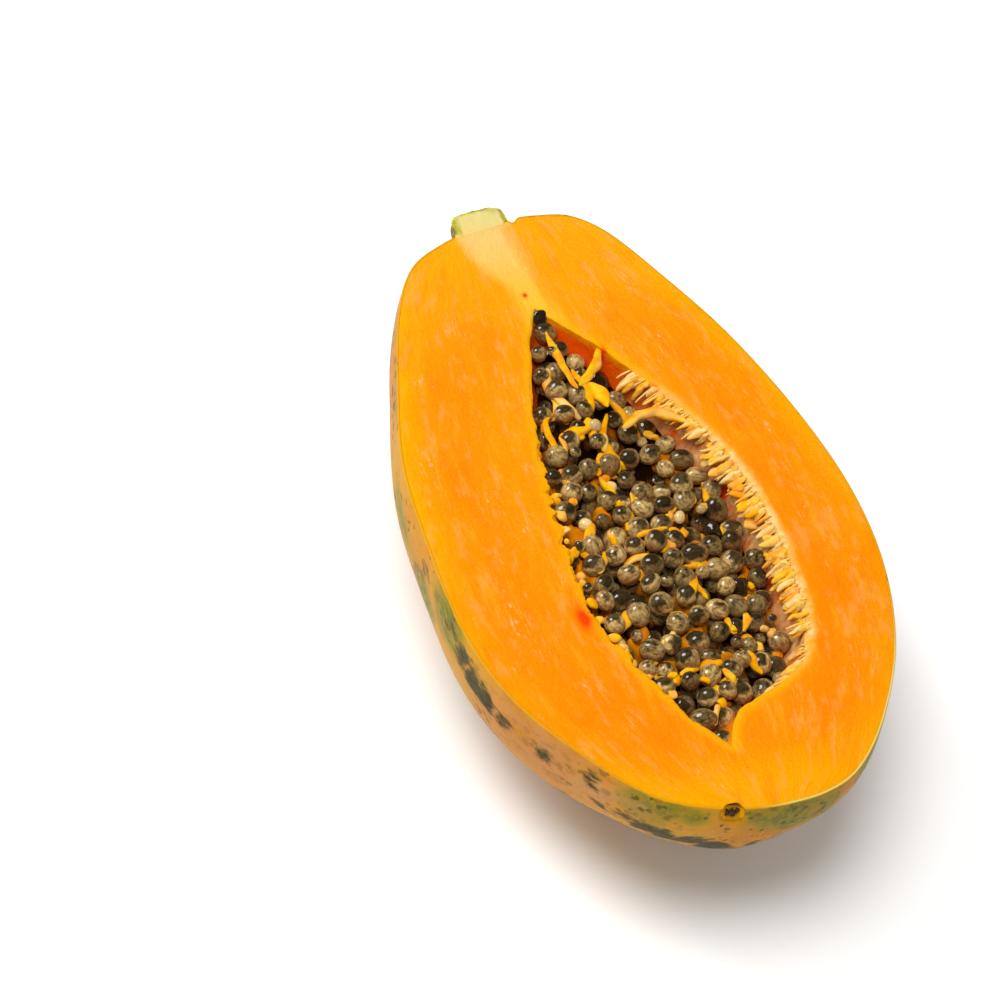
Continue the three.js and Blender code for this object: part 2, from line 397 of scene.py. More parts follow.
def piece(
    mesh: bpy.types.Mesh, material: bpy.types.Material, node: str | None = None
) -> bpy.types.Object:
    """Put a mesh in the scene as a piece of the object.

    Args:
        mesh: its finished mesh, named as the piece.
        material: its finish.
        node: the node of the frame that it stands for.

    Returns:
        The piece.
    """
    made = bpy.data.objects.new(mesh.name, mesh)
    bpy.context.scene.collection.objects.link(made)
    made.data.materials.append(material)
    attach(made, BODY)
    if node:
        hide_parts(node)
    log.info("%s: %d points", made.name, len(mesh.vertices))
    return made


def subdivide(made: bpy.types.Object, levels: int = 1) -> None:
    """Round a piece with a live subdivision surface."""
    modifier = made.modifiers.new("rounding", "SUBSURF")
    modifier.levels = levels
    modifier.render_levels = levels


def waver(place: Vector) -> Vector:
    """Return a smooth vector of noise; the one in mathutils differs from run to run, and this doesn't."""
    return Vector([noise.noise(place + shift) for shift in WAVER_SHIFTS])


def limb(
    bm: bmesh.types.BMesh,
    site: Site,
    path: Path,
    thickness: Sequence[float],
    lumps: float = 0.2,
    sides: int = 8,
    rings: int = 9,
    squash: float = 1.0,
) -> int:
    """Add a closed soft strand, tooth or blob along a path.

    Args:
        bm: what to add it to.
        site: the fruit's place.
        path: points in fruit coordinates.
        thickness: radii, spread evenly along the path.
        lumps: unevenness, as a share of the radius.
        sides: faces round it.
        rings: faces along it.
        squash: its height as a share of its width.

    Returns:
        How many points it added.
    """
    made = bmesh.ops.create_uvsphere(bm, u_segments=sides, v_segments=rings, radius=1.0)["verts"]
    line = spline(path, LIMB_STEPS + 1)
    along = np.linspace(0, 1, LIMB_STEPS + 1)
    radii = np.interp(along, np.linspace(0, 1, len(thickness)), thickness)
    coarse = 1.6 * max(thickness) + 0.3
    for vert in made:
        polar = math.acos(max(-1.0, min(1.0, vert.co.z)))
        step = int(round(polar / math.pi * LIMB_STEPS))
        ahead = Vector(line[min(LIMB_STEPS, step + 1)] - line[max(0, step - 1)]).normalized()
        side = ahead.cross(Vector((0.13, 0.21, 1.0))).normalized()
        over = side.cross(ahead)
        flat = Vector((vert.co.x, vert.co.y))
        ring = math.sqrt(math.sin(polar)) if flat.length > 1e-6 else 0.0
        flat = flat.normalized() * ring * radii[step] if flat.length > 1e-6 else Vector((0.0, 0.0))
        at = Vector(line[step]) + side * flat.x + over * flat.y * squash
        push = (waver(at / coarse) + waver(at * 3.1 / coarse) * 0.55) * lumps * radii[step]
        at += push
        vert.co = site.vector(at.x, at.y, at.z)
    return len(made)


# ------------------------------------------------------------------------------------------------ shading


@dataclass
class Graph:
    """Adds shader nodes to one tree and joins them."""

    tree: bpy.types.NodeTree

    def add(
        self, kind: str, inputs: dict[str | int, object] | None = None, **settings: object
    ) -> bpy.types.Node:
        """Add a node.

        Args:
            kind: its type.
            inputs: sockets or plain values, by input name or number.
            settings: its properties.

        Returns:
            The node.
        """
        node = self.tree.nodes.new(kind)
        for key, value in settings.items():
            setattr(node, key, value)
        for key, value in (inputs or {}).items():
            self.feed(node.inputs[key], value)
        return node

    def feed(self, socket: bpy.types.NodeSocket, value: object) -> None:
        """Link a socket to another, or set its plain value."""
        if isinstance(value, bpy.types.NodeSocket):
            self.tree.links.new(value, socket)
        else:
            socket.default_value = value

    def place(self) -> bpy.types.NodeSocket:
        """Return the piece's object coordinates, in metres."""
        return self.add("ShaderNodeTexCoord").outputs["Object"]

    def attribute(self, name: str, vector: bool = False) -> bpy.types.NodeSocket:
        """Return a stored number or vector of the piece."""
        node = self.add("ShaderNodeAttribute", attribute_name=name)
        return node.outputs["Vector" if vector else "Fac"]

    def stretch(self, vector: bpy.types.NodeSocket, scale: tuple[float, float, float],
                turn: tuple[float, float, float] = (0, 0, 0)) -> bpy.types.NodeSocket:
        """Scale coordinates by axis, then turn them."""
        node = self.add("ShaderNodeMapping", {"Vector": vector, "Scale": scale, "Rotation": turn})
        return node.outputs["Vector"]

    def noise(self, vector: bpy.types.NodeSocket, scale: float, detail: float = 2.0,
              roughness: float = 0.5, distortion: float = 0.0) -> bpy.types.NodeSocket:
        """Return a noise between 0 and 1."""
        node = self.add("ShaderNodeTexNoise", {
            "Vector": vector, "Scale": scale, "Detail": detail,
            "Roughness": roughness, "Distortion": distortion})
        return node.outputs["Fac"]

    def math(self, operation: str, a: object, b: object = 0.0) -> bpy.types.NodeSocket:
        """Return a sum of two numbers, or another operation's result, clamped to nothing."""
        return self.add("ShaderNodeMath", {0: a, 1: b}, operation=operation).outputs[0]

    def step(self, value: bpy.types.NodeSocket, low: float, high: float,
             bottom: float = 0.0, top: float = 1.0) -> bpy.types.NodeSocket:
        """Return a smooth step of a number from bottom at low to top at high."""
        node = self.add("ShaderNodeMapRange", {
            "Value": value, "From Min": low, "From Max": high, "To Min": bottom, "To Max": top},
            interpolation_type="SMOOTHSTEP")
        return node.outputs["Result"]

    def mix(self, share: object, a: object, b: object, blend: str = "MIX") -> bpy.types.NodeSocket:
        """Return two colours mixed."""
        node = self.add("ShaderNodeMix", data_type="RGBA", blend_type=blend)
        self.feed(node.inputs["Factor"], share)
        self.feed(node.inputs[6], a)
        self.feed(node.inputs[7], b)
        return node.outputs[2]

    def ramp(self, value: bpy.types.NodeSocket, stops: Sequence[tuple[float, Color]]) -> bpy.types.NodeSocket:
        """Return a colour read from stops at a number."""
        node = self.add("ShaderNodeValToRGB", {"Fac": value})
        elements = node.color_ramp.elements
        while len(elements) < len(stops):
            elements.new(0.5)
        for element, (position, color) in zip(elements, stops, strict=True):
            element.position = position
            element.color = color
        return node.outputs["Color"]

    def bump(self, height: bpy.types.NodeSocket, strength: float, distance: float) -> bpy.types.NodeSocket:
        """Return a normal bent by a height field.

        Args:
            height: 0 to 1.
            strength: share of the effect.
            distance: the height of 1, in metres.
        """
        node = self.add("ShaderNodeBump", {"Height": height, "Strength": strength, "Distance": distance})
        return node.outputs["Normal"]


class Effect(Enum):
    """The shared effects: each is one node group, built once."""

    PATCHES = "soft_patches"
    DOTS = "scattered_dots"
    GRAIN = "wet_grain"


def socket(
    tree: bpy.types.NodeTree, name: str, way: str, kind: str = "NodeSocketFloat", value: float = 0.0
) -> None:
    """Give a group an input or output."""
    made = tree.interface.new_socket(name=name, in_out=way, socket_type=kind)
    if way == "INPUT" and kind == "NodeSocketFloat":
        made.default_value = value


def effect(which: Effect) -> bpy.types.NodeTree:
    """Return a shared effect's node group, making it at its first use."""
    if which.value in bpy.data.node_groups:
        return bpy.data.node_groups[which.value]
    tree = bpy.data.node_groups.new(which.value, "ShaderNodeTree")
    socket(tree, "Vector", "INPUT", "NodeSocketVector")
    socket(tree, "Scale", "INPUT", value=100.0)
    socket(tree, "Low", "INPUT", value=0.45)
    socket(tree, "High", "INPUT", value=0.55)
    socket(tree, "Mask", "OUTPUT")
    graph = Graph(tree)
    given = graph.add("NodeGroupInput").outputs
    vector, scale, low, high = (given[name] for name in ("Vector", "Scale", "Low", "High"))
    if which is Effect.PATCHES:
        height = graph.add("ShaderNodeTexNoise", {
            "Vector": vector, "Scale": scale, "Detail": 4.0, "Roughness": 0.6}).outputs["Fac"]
    elif which is Effect.DOTS:
        waves = {"Vector": vector, "Scale": scale, "Detail": 2.0}
        bent = graph.add("ShaderNodeTexNoise", waves).outputs["Color"]
        centred = {0: bent, 1: (0.5, 0.5, 0.5)}
        push = graph.add("ShaderNodeVectorMath", centred, operation="SUBTRACT").outputs[0]
        reach = graph.math("DIVIDE", 0.9, scale)
        push = graph.add("ShaderNodeVectorMath", {0: push, "Scale": reach}, operation="SCALE").outputs[0]
        moved = graph.add("ShaderNodeVectorMath", {0: vector, 1: push}, operation="ADD").outputs[0]
        cells = graph.add("ShaderNodeTexVoronoi", {"Vector": moved, "Scale": scale, "Randomness": 1.0})
        size = graph.add("ShaderNodeSeparateColor", {"Color": cells.outputs["Color"]}).outputs["Red"]
        size = graph.math("POWER", size, 2.0)
        height = graph.math("SUBTRACT", size, cells.outputs["Distance"])
    else:
        fine = graph.add("ShaderNodeTexNoise", {
            "Vector": vector, "Scale": scale, "Detail": 5.0, "Roughness": 0.7}).outputs["Fac"]
        cells = graph.add("ShaderNodeTexVoronoi", {"Vector": vector, "Scale": scale}, feature="SMOOTH_F1")
        height = graph.math("MULTIPLY_ADD", cells.outputs["Distance"], 0.4)
        graph.feed(height.node.inputs[2], fine)
    mask = graph.add("ShaderNodeMapRange", {"Value": height, "From Min": low, "From Max": high},
                     interpolation_type="SMOOTHSTEP").outputs["Result"]
    out = graph.add("NodeGroupOutput")
    graph.feed(out.inputs["Mask"], mask)
    return tree


def masked(graph: Graph, which: Effect, vector: bpy.types.NodeSocket, scale: float,
           low: float, high: float) -> bpy.types.NodeSocket:
    """Place a shared effect and return its mask.

    Args:
        graph: the material's nodes.
        which: the effect.
        vector: its coordinates.
        scale: how many of its features fit in one unit of them.
        low: the height at which the mask is 0.
        high: the height at which it is 1.

    Returns:
        The mask's socket.
    """
    node = graph.add("ShaderNodeGroup", node_tree=effect(which))
    for name, value in (("Vector", vector), ("Scale", scale), ("Low", low), ("High", high)):
        graph.feed(node.inputs[name], value)
    return node.outputs["Mask"]


@dataclass(frozen=True)
class Finish:
    """What every finish shares: a name, gloss, and how far light spreads inside."""

    name: str
    roughness: float = 0.45
    specular: float = 0.3
    tint: Color = (1.0, 1.0, 1.0, 1.0)
    coat: float = 0.0
    coat_roughness: float = 0.1
    coat_index: float = 1.5
    glow: float = 0.0
    glow_reach: float = 0.003
    glow_radius: tuple[float, float, float] = (1.0, 0.35, 0.08)

    def start(self) -> tuple[bpy.types.Material, Graph, bpy.types.Node]:
        """Make the material with its plain sockets set, and return it with its nodes and its shader."""
        material = bpy.data.materials.new(self.name)
        material.use_nodes = True
        shader = material.node_tree.nodes["Principled BSDF"]
        for name, value in (
            ("Roughness", self.roughness), ("Specular IOR Level", self.specular),
            ("Specular Tint", self.tint), ("Coat Weight", self.coat),
            ("Coat Roughness", self.coat_roughness), ("Coat IOR", self.coat_index),
            ("Subsurface Weight", self.glow), ("Subsurface Scale", self.glow_reach),
            ("Subsurface Radius", self.glow_radius),
        ):
            shader.inputs[name].default_value = value
        return material, Graph(material.node_tree), shader


@dataclass(frozen=True)
class FleshFinish(Finish):
    """Ripe flesh: yellow under the skin, orange inside, with pale bundles along it; redder in the cavity. The
    pale streaks and flecks are partly painted wet glints, and the cavity wall is painted darker with depth as
    shade.
    """

    gain: float = 0.73

    def tone(self, red: int, green: int, blue: int) -> Color:
        """Return a display colour as it is under the scene's light."""
        return rgb(red, green, blue, self.gain)

    def face(self, graph: Graph, place: bpy.types.NodeSocket) -> bpy.types.NodeSocket:
        """Return the cut face's colour."""
        tone = self.tone
        grain = graph.attribute("grain", vector=True)
        rim, core = graph.attribute("rim_mm"), graph.attribute("core_mm")
        wander = graph.math("MULTIPLY_ADD", graph.noise(place, 70.0, 3.0), 6.0)
        graph.feed(wander.node.inputs[2], rim)
        color = graph.ramp(graph.math("DIVIDE", graph.math("SUBTRACT", wander, 3.0), 24.0), [
            (0.0, tone(255, 172, 0)), (0.1, tone(255, 163, 0)), (0.3, tone(255, 150, 1)),
            (0.62, tone(254, 143, 2)), (1.0, tone(255, 152, 3))])
        length = graph.add("ShaderNodeSeparateXYZ", {"Vector": place}).outputs["Y"]
        shoulder = graph.math("MULTIPLY", graph.step(length, 0.035, 0.075), 0.75)
        color = graph.mix(shoulder, color, tone(255, 172, 8))
        lower = graph.math("MULTIPLY", graph.step(length, 0.01, -0.045), 0.4)
        color = graph.mix(lower, color, tone(255, 134, 0))
        tip = graph.math("MULTIPLY", graph.step(length, -0.068, -0.086), 0.8)
        color = graph.mix(tip, color, tone(255, 174, 0))
        deep = masked(graph, Effect.PATCHES, graph.stretch(grain, (0.11, 0.045, 0.11)), 1.0, 0.48, 0.7)
        color = graph.mix(graph.math("MULTIPLY", deep, 0.45), color, tone(254, 128, 0))
        long_grain = graph.stretch(grain, (0.3, 0.07, 0.3), (0.2, 0, 0))
        light = masked(graph, Effect.PATCHES, long_grain, 1.0, 0.5, 0.74)
        color = graph.mix(graph.math("MULTIPLY", light, 0.5), color, tone(255, 174, 30))
        short_grain = graph.stretch(grain, (0.32, 0.12, 0.32), (5, 0, 0))
        rosy = masked(graph, Effect.PATCHES, short_grain, 1.0, 0.52, 0.7)
        color = graph.mix(graph.math("MULTIPLY", rosy, 0.5), color, tone(255, 170, 78))
        band = graph.math("MULTIPLY", graph.step(rim, 2.0, 5.5), graph.step(core, 0.5, 3.0))
        patches = masked(graph, Effect.PATCHES, graph.stretch(place, (1.0, 0.4, 1.0)), 110.0, 0.5, 0.64)
        where = graph.math("MULTIPLY", patches, band)
        # Pale streaks along the grain: partly pale fibre bundles, partly painted wet glints.
        for across, length_way, low, high, share, pale in (
            (1.0, 0.2, 0.52, 0.7, 0.6, tone(255, 180, 96)), (2.6, 0.7, 0.6, 0.74, 0.5, tone(255, 200, 150)),
        ):
            drawn = graph.stretch(grain, (across, length_way, across))
            streak_and_glint = masked(graph, Effect.PATCHES, drawn, 1.0, low, high)
            amount = graph.math("MULTIPLY", graph.math("MULTIPLY", streak_and_glint, where), share)
            color = graph.mix(amount, color, pale)
        # Pale flecks: partly the flesh's own pale specks, partly painted wet glints.
        dot_and_glint_mask = masked(graph, Effect.DOTS, graph.stretch(grain, (0.9, 0.5, 0.9)), 1.0, 0.5, 0.62)
        dot_and_glint_amount = graph.math("MULTIPLY", graph.math("MULTIPLY", dot_and_glint_mask, where), 0.5)
        color = graph.mix(dot_and_glint_amount, color, tone(255, 196, 130))
        edge = graph.step(graph.math("ADD", core, graph.noise(place, 500.0, 3.0)), 3.6, 1.0)
        color = graph.mix(graph.math("MULTIPLY", edge, 0.8), color, tone(255, 176, 6))
        torn = graph.noise(graph.stretch(place, (420.0, 60.0, 300.0)), 1.0, 4.0)
        ragged = graph.math("MULTIPLY_ADD", torn, 5.0)
        graph.feed(ragged.node.inputs[2], graph.attribute("pale_mm"))
        stem_way = graph.ramp(graph.step(length, 0.052, 0.083), [
            (0.0, tone(255, 196, 50)), (0.5, tone(254, 200, 84)), (1.0, tone(248, 208, 122))])
        return graph.mix(graph.step(ragged, 0.2, 5.4, 0.0, 0.9), color, stem_way)

    def build(self) -> bpy.types.Material:
        """Make the material."""
        material, graph, shader = self.start()
        place, tone = graph.place(), self.tone
        wall = graph.attribute("wall_mm")
        # Redder with depth down the cavity wall, and darker with depth as painted shade.
        inside = graph.ramp(graph.math("DIVIDE", wall, 22.0), [
            (0.0, tone(255, 160, 8)), (0.12, tone(253, 128, 4)),
            (0.34, tone(240, 100, 0)), (0.8, tone(150, 46, 0))])
        color = graph.mix(graph.step(wall, 0.1, 0.9), self.face(graph, place), inside)
        fibre = graph.noise(graph.stretch(place, (420.0, 900.0, 150.0)), 1.0, 4.0, 0.7)
        cream = graph.math("MULTIPLY", graph.attribute("cream"), graph.step(fibre, 0.3, 0.6, 0.15, 1.0))
        clouds = graph.step(graph.noise(place, 260.0, 3.0), 0.34, 0.58, 0.35, 1.0)
        cream = graph.math("MULTIPLY", cream, clouds)
        color = graph.mix(cream, color, tone(255, 214, 142))
        color = graph.mix(graph.attribute("blush"), color, tone(244, 70, 4))
        # Dark in the blossom pit: partly the dry scar's own dark brown, partly painted shade that makes the
        # pit look deeper.
        color = graph.mix(graph.attribute("scar"), color, rgb(44, 20, 10))
        graph.feed(shader.inputs["Base Color"], color)
        wet = masked(graph, Effect.GRAIN, place, 900.0, 0.2, 1.1)
        grain = graph.stretch(graph.attribute("grain", vector=True), (0.9, 0.22, 0.9))
        soft = graph.noise(grain, 1.0, 4.0, 0.6)
        relief = graph.math("MULTIPLY_ADD", soft, 1.8)
        graph.feed(relief.node.inputs[2], wet)
        graph.feed(shader.inputs["Normal"], graph.bump(relief, 0.6, 0.00022))
        sheen = graph.math("MULTIPLY_ADD", wet, 0.25)
        graph.feed(sheen.node.inputs[2], self.roughness - 0.1)
        graph.feed(shader.inputs["Roughness"], sheen)
        return material


@dataclass(frozen=True)
class SkinFinish(Finish):
    """Waxy skin: yellow-orange, clouded with green, freckled, and scuffed pale on one side; its dark
    green-grey patches along the blossom end's flank are partly painted shade.
    """

    gain: float = 0.6

    def build(self) -> bpy.types.Material:
        """Make the material."""
        material, graph, shader = self.start()
        place = graph.place()
        long_way = graph.stretch(place, (1.0, 0.5, 1.0))

        def tone(red: int, green: int, blue: int) -> Color:
            return rgb(red, green, blue, self.gain)

        warm = masked(graph, Effect.PATCHES, place, 26.0, 0.4, 0.66)
        color = graph.mix(warm, tone(246, 174, 16), tone(240, 142, 8))
        fine = graph.noise(long_way, 700.0, 4.0, 0.7)
        color = graph.mix(graph.step(fine, 0.4, 0.75, 0.0, 0.4), color, tone(252, 196, 60))
        cloud = graph.math("MULTIPLY_ADD", graph.attribute("green"), 0.38)
        graph.feed(cloud.node.inputs[2], graph.noise(long_way, 60.0, 5.0, 0.66))
        green = graph.step(cloud, 0.56, 0.76)
        color = graph.mix(graph.math("MULTIPLY", green, 0.75), color, tone(176, 160, 22))
        deep = graph.math("MULTIPLY", graph.step(cloud, 0.66, 0.86), graph.step(fine, 0.36, 0.58))
        color = graph.mix(graph.math("MULTIPLY", deep, 0.8), color, tone(112, 128, 30))
        scuffed = graph.attribute("scuffed")
        worn = graph.noise(graph.stretch(place, (1.0, 0.4, 1.0)), 150.0, 5.0, 0.7)
        rubbed = graph.math("MULTIPLY", scuffed, graph.step(worn, 0.3, 0.56))
        color = graph.mix(graph.math("MULTIPLY", rubbed, 0.85), color, tone(250, 176, 108))
        rubbed_pale = graph.math("MULTIPLY", scuffed, graph.step(worn, 0.52, 0.66))
        color = graph.mix(graph.math("MULTIPLY", rubbed_pale, 0.6), color, tone(222, 176, 124))
        rubs = graph.step(graph.noise(long_way, 330.0, 4.0, 0.7), 0.52, 0.66)
        rubbed_dark = graph.math("MULTIPLY", scuffed, rubs)
        color = graph.mix(graph.math("MULTIPLY", rubbed_dark, 0.5), color, tone(170, 116, 50))
        # Dark green-grey patches: partly the skin's own, partly painted shade along the flank at the blossom
        # end.
        dusk = graph.attribute("dusk")
        dark_patch_and_shade_mask = graph.math("MULTIPLY_ADD", dusk, 0.5)
        graph.feed(dark_patch_and_shade_mask.node.inputs[2], graph.noise(graph.stretch(place, (0.6, 0.3, 1.0)), 260.0, 5.0, 0.7))
        dark_patch_and_shade_mask = graph.math("MULTIPLY", graph.step(dark_patch_and_shade_mask, 0.72, 0.92), 0.95)
        dark_patch_and_shade_color = graph.mix(graph.step(fine, 0.4, 0.6), tone(72, 80, 38), tone(36, 38, 14))
        color = graph.mix(dark_patch_and_shade_mask, color, dark_patch_and_shade_color)
        crowd = graph.math("MULTIPLY_ADD", graph.attribute("green"), 0.25)
        graph.feed(crowd.node.inputs[2], graph.noise(place, 48.0, 3.0))
        crowd = graph.step(crowd, 0.42, 0.62)
        freckles = graph.math("MULTIPLY", crowd, masked(
            graph, Effect.DOTS, graph.stretch(place, (1.0, 0.62, 1.0)), 720.0, 0.22, 0.42))
        color = graph.mix(graph.math("MULTIPLY", freckles, 0.8), color, tone(98, 92, 16))
        specks = masked(graph, Effect.DOTS, graph.stretch(place, (1.0, 0.7, 1.0)), 380.0, 0.42, 0.56)
        specks = graph.math("MULTIPLY", graph.math("MULTIPLY", specks, crowd), 0.6)
        color = graph.mix(specks, color, tone(150, 92, 20))
        color = graph.mix(graph.attribute("ridge"), color, tone(240, 160, 20))
        rim = graph.math("MULTIPLY", graph.attribute("edge"), graph.step(fine, 0.62, 0.5))
        color = graph.mix(rim, color, tone(255, 178, 14))
        # Pale line along the cut edge on the right: partly the edge's own pale colour, partly a painted
        # highlight.
        color = graph.mix(graph.attribute("line"), color, tone(255, 226, 120))
        # Dark in the blossom pit: partly the dry scar's own dark brown, partly painted shade that makes the
        # pit look deeper.
        color = graph.mix(graph.attribute("scar"), color, rgb(36, 16, 10))
        graph.feed(shader.inputs["Base Color"], color)
        pores = masked(graph, Effect.GRAIN, place, 1100.0, 0.1, 1.2)
        raised = graph.math("MULTIPLY_ADD", freckles, 0.5)
        graph.feed(raised.node.inputs[2], pores)
        graph.feed(shader.inputs["Normal"], graph.bump(raised, 0.35, 0.00015))
        sheen = graph.math("MULTIPLY_ADD", rubbed, 0.25)
        graph.feed(sheen.node.inputs[2], self.roughness)
        graph.feed(shader.inputs["Roughness"], sheen)
        return material


@dataclass(frozen=True)
class SeedFinish(Finish):
    """Wrinkled brown seeds under a wet, clear coat, with painted orange bounce light on their lower sides and
    a dark patch near the top that is partly the seed under the coat and partly a painted dark reflection.
    """

    def build(self) -> bpy.types.Material:
        """Make the material."""
        material, graph, shader = self.start()
        point = graph.attribute("seed_point", vector=True)
        tone = graph.attribute("tone")
        veins = masked(graph, Effect.PATCHES, graph.stretch(point, (1.0, 1.0, 0.45)), 2.6, 0.36, 0.66)
        color = graph.mix(veins, rgb(92, 50, 8), rgb(196, 160, 92))
        fine = masked(graph, Effect.GRAIN, graph.stretch(point, (1.0, 1.0, 0.5)), 5.5, 0.45, 1.0)
        color = graph.mix(graph.math("MULTIPLY", fine, 0.5), color, rgb(228, 200, 136))
        darkness = {"Value": tone, "To Min": 0.2, "To Max": 1.3}
        dark = graph.add("ShaderNodeMapRange", darkness).outputs["Result"]
        color = graph.add("ShaderNodeVectorMath", {0: color, "Scale": dark}, operation="SCALE").outputs[0]
        # Painted orange bounce light from the pulp on each seed's lower side.
        color = graph.mix(graph.math("MULTIPLY", graph.attribute("amber"), 0.8), color, rgb(132, 56, 0))
        # Dark patch near each seed's top: partly the dark seed under the clear coat, partly a painted dark
        # reflection.
        core = graph.math("ADD", graph.attribute("core"), graph.noise(point, 2.2, 3.0))
        core = graph.math("MULTIPLY", graph.step(core, 0.75, 1.15), 0.9)
        color = graph.mix(core, color, rgb(26, 20, 9))
        color = graph.mix(graph.attribute("pale"), color, rgb(244, 206, 138))
        graph.feed(shader.inputs["Base Color"], color)
        height = graph.math("MULTIPLY_ADD", fine, 0.5)
        graph.feed(height.node.inputs[2], veins)
        graph.feed(shader.inputs["Normal"], graph.bump(height, 0.5, 0.00035))
        return material


@dataclass(frozen=True)
class PulpFinish(Finish):
    """Soft yellow pulp and strands, cream where they are driest, brown deep among the seeds; the near black
    of the bed under the seeds is painted shade.
    """

    gain: float = 0.78

    def build(self) -> bpy.types.Material:
        """Make the material."""
        material, graph, shader = self.start()
        place = graph.place()
        mottle = masked(graph, Effect.PATCHES, place, 260.0, 0.38, 0.64)
        color = graph.mix(mottle, rgb(255, 190, 0, self.gain), rgb(252, 154, 0, self.gain))
        pale = graph.math("POWER", graph.attribute("pale"), 2.2)
        color = graph.mix(pale, color, rgb(255, 218, 146, self.gain))
        # Brown to near black where marked deep: on the bed under the seeds this is painted shade.
        low = graph.attribute("deep")
        color = graph.mix(low, color, graph.ramp(low, [
            (0.0, rgb(255, 150, 0, self.gain)), (0.5, rgb(206, 78, 0, self.gain)),
            (1.0, rgb(26, 8, 0, self.gain))]))
        graph.feed(shader.inputs["Base Color"], color)
        wet = masked(graph, Effect.GRAIN, place, 1300.0, 0.2, 1.1)
        graph.feed(shader.inputs["Normal"], graph.bump(wet, 0.5, 0.0002))
        return material


@dataclass(frozen=True)
class StalkFinish(Finish):
    """The stalk's stub: cream where it is cut, green bark outside, and painted olive-brown shade on its
    sides, along its left edge and at its foot.
    """

    gain: float = 0.71

    def build(self) -> bpy.types.Material:
        """Make the material."""
        material, graph, shader = self.start()
        place = graph.place()
        fibre = graph.noise(graph.stretch(place, (900.0, 160.0, 900.0)), 1.0, 4.0, 0.6)
        length = graph.add("ShaderNodeSeparateXYZ", {"Vector": place}).outputs["Y"]
        inner, outer = rgb(251, 208, 114, self.gain), rgb(232, 214, 132, self.gain)
        cut = graph.mix(graph.step(length, 0.0805, 0.086), inner, outer)
        cut = graph.mix(graph.step(fibre, 0.4, 0.75, 0.0, 0.3), cut, rgb(255, 228, 150, self.gain))
        bark = graph.mix(masked(graph, Effect.PATCHES, place, 300.0, 0.4, 0.62),
                         rgb(216, 214, 80, self.gain), rgb(176, 168, 52, self.gain))
        bark = graph.mix(graph.attribute("shade"), bark, rgb(104, 88, 30, self.gain))
        color = graph.mix(graph.attribute("bark"), cut, bark)
        graph.feed(shader.inputs["Base Color"], color)
        graph.feed(shader.inputs["Normal"], graph.bump(fibre, 0.4, 0.0002))
        return material


@dataclass(frozen=True)
class ScarFinish(Finish):
    """The dry, dark remains of the flower."""

    def build(self) -> bpy.types.Material:
        """Make the material."""
        material, graph, shader = self.start()
        crumbs = masked(graph, Effect.GRAIN, graph.place(), 1500.0, 0.35, 0.95)
        graph.feed(shader.inputs["Base Color"], graph.mix(crumbs, rgb(22, 12, 8), rgb(96, 66, 52)))
        graph.feed(shader.inputs["Normal"], graph.bump(crumbs, 0.8, 0.0003))
        return material


# ------------------------------------------------------------------------------------------------ fruit


@dataclass
class Scar:
    """The pit that the flower left at the blossom end, the ridge under it, and the dry crumbs in it."""

    bowl: Bowl
    site: Site
    x: float = -8.4
    below_cut: float = 1.7
    radius: float = 2.5
    depth: float = 2.4
    ridge: Path = ((-6.6, 51.0, 0), (-5.2, 46.0, 0), (-2.8, 38.8, 0), (-0.5, 30.0, 0))
    ridge_height: float = 0.75
    ridge_width: float = 1.5

    def share(self, points: np.ndarray) -> np.ndarray:
        """Return how deep in the pit points are, from 0 at its brim to 1."""
        height = self.bowl.fruit.cut_height - self.below_cut
        corner = (np.abs(points[:, 0] - self.x) / 1.1) ** 3 + np.abs(points[:, 2] - height) ** 3
        outer = smoothstep(points[:, 1], self.bowl.fruit.length - 3.8, self.bowl.fruit.length - 2.4)
        return outer * smoothstep(corner ** (1 / 3), self.radius, self.radius * 0.55)

    def on_ridge(self, points: np.ndarray) -> np.ndarray:
        """Return 1 on the crest of the ridge under the pit, falling to 0 beside it."""
        x = np.interp(-points[:, 2], [-z for _, z, _ in self.ridge], [x for x, _, _ in self.ridge])
        low, high = self.ridge[-1][1], self.ridge[0][1]
        fade = smoothstep(points[:, 2], low, low + 8) * smoothstep(points[:, 2], high + 1.5, high - 0.5)
        fade = fade * (points[:, 1] > self.bowl.centre_along)
        return fade * np.exp(-(((points[:, 0] - x) / self.ridge_width) ** 2))

    def dent(self, points: np.ndarray) -> np.ndarray:
        """Return how far the pit pushes the surface in at points, less what the ridge lifts it."""
        return self.depth * self.share(points) - self.ridge_height * self.on_ridge(points)

    def build(self, material: bpy.types.Material) -> bpy.types.Object:
        """Make the crumbs."""
        bm = bmesh.new()
        top = self.bowl.fruit.cut_height
        floor = self.bowl.fruit.length - 3.4
        for x, along, down, size in (
            (-8.4, 0.6, 1.7, 1.2), (-9.6, 0.9, 1.1, 0.7), (-7.2, 0.9, 1.3, 0.8), (-8.1, 0.8, 2.8, 0.8),
            (-9.3, 0.9, 2.4, 0.6), (-7.4, 1.1, 2.1, 0.5), (-8.6, 1.3, 0.9, 0.4),
        ):
            path = ((x - 0.5 * size, floor + along, top - down), (x, floor + along + 0.3, top - down - 0.1),
                    (x + 0.5 * size, floor + along, top - down + 0.1))
            limb(bm, self.site, path, (size * 0.7, size, size * 0.6), lumps=0.6, sides=9, rings=8)
        made = piece(mesh_from(bm, "blossom_scar"), material)
        turn_out(made.data)
        subdivide(made)
        return made


Mark = tuple[float, float, float, float, float]


def marked(points: np.ndarray, marks: Sequence[Mark]) -> np.ndarray:
    """Return the height at points of soft round marks, each a middle, a radius and a strength."""
    total = np.zeros(len(points))
    for x, along, z, radius, strength in marks:
        away = ((points - (x, along, z)) ** 2).sum(axis=1) / radius**2
        total = np.maximum(total, strength * np.exp(-away))
    return total


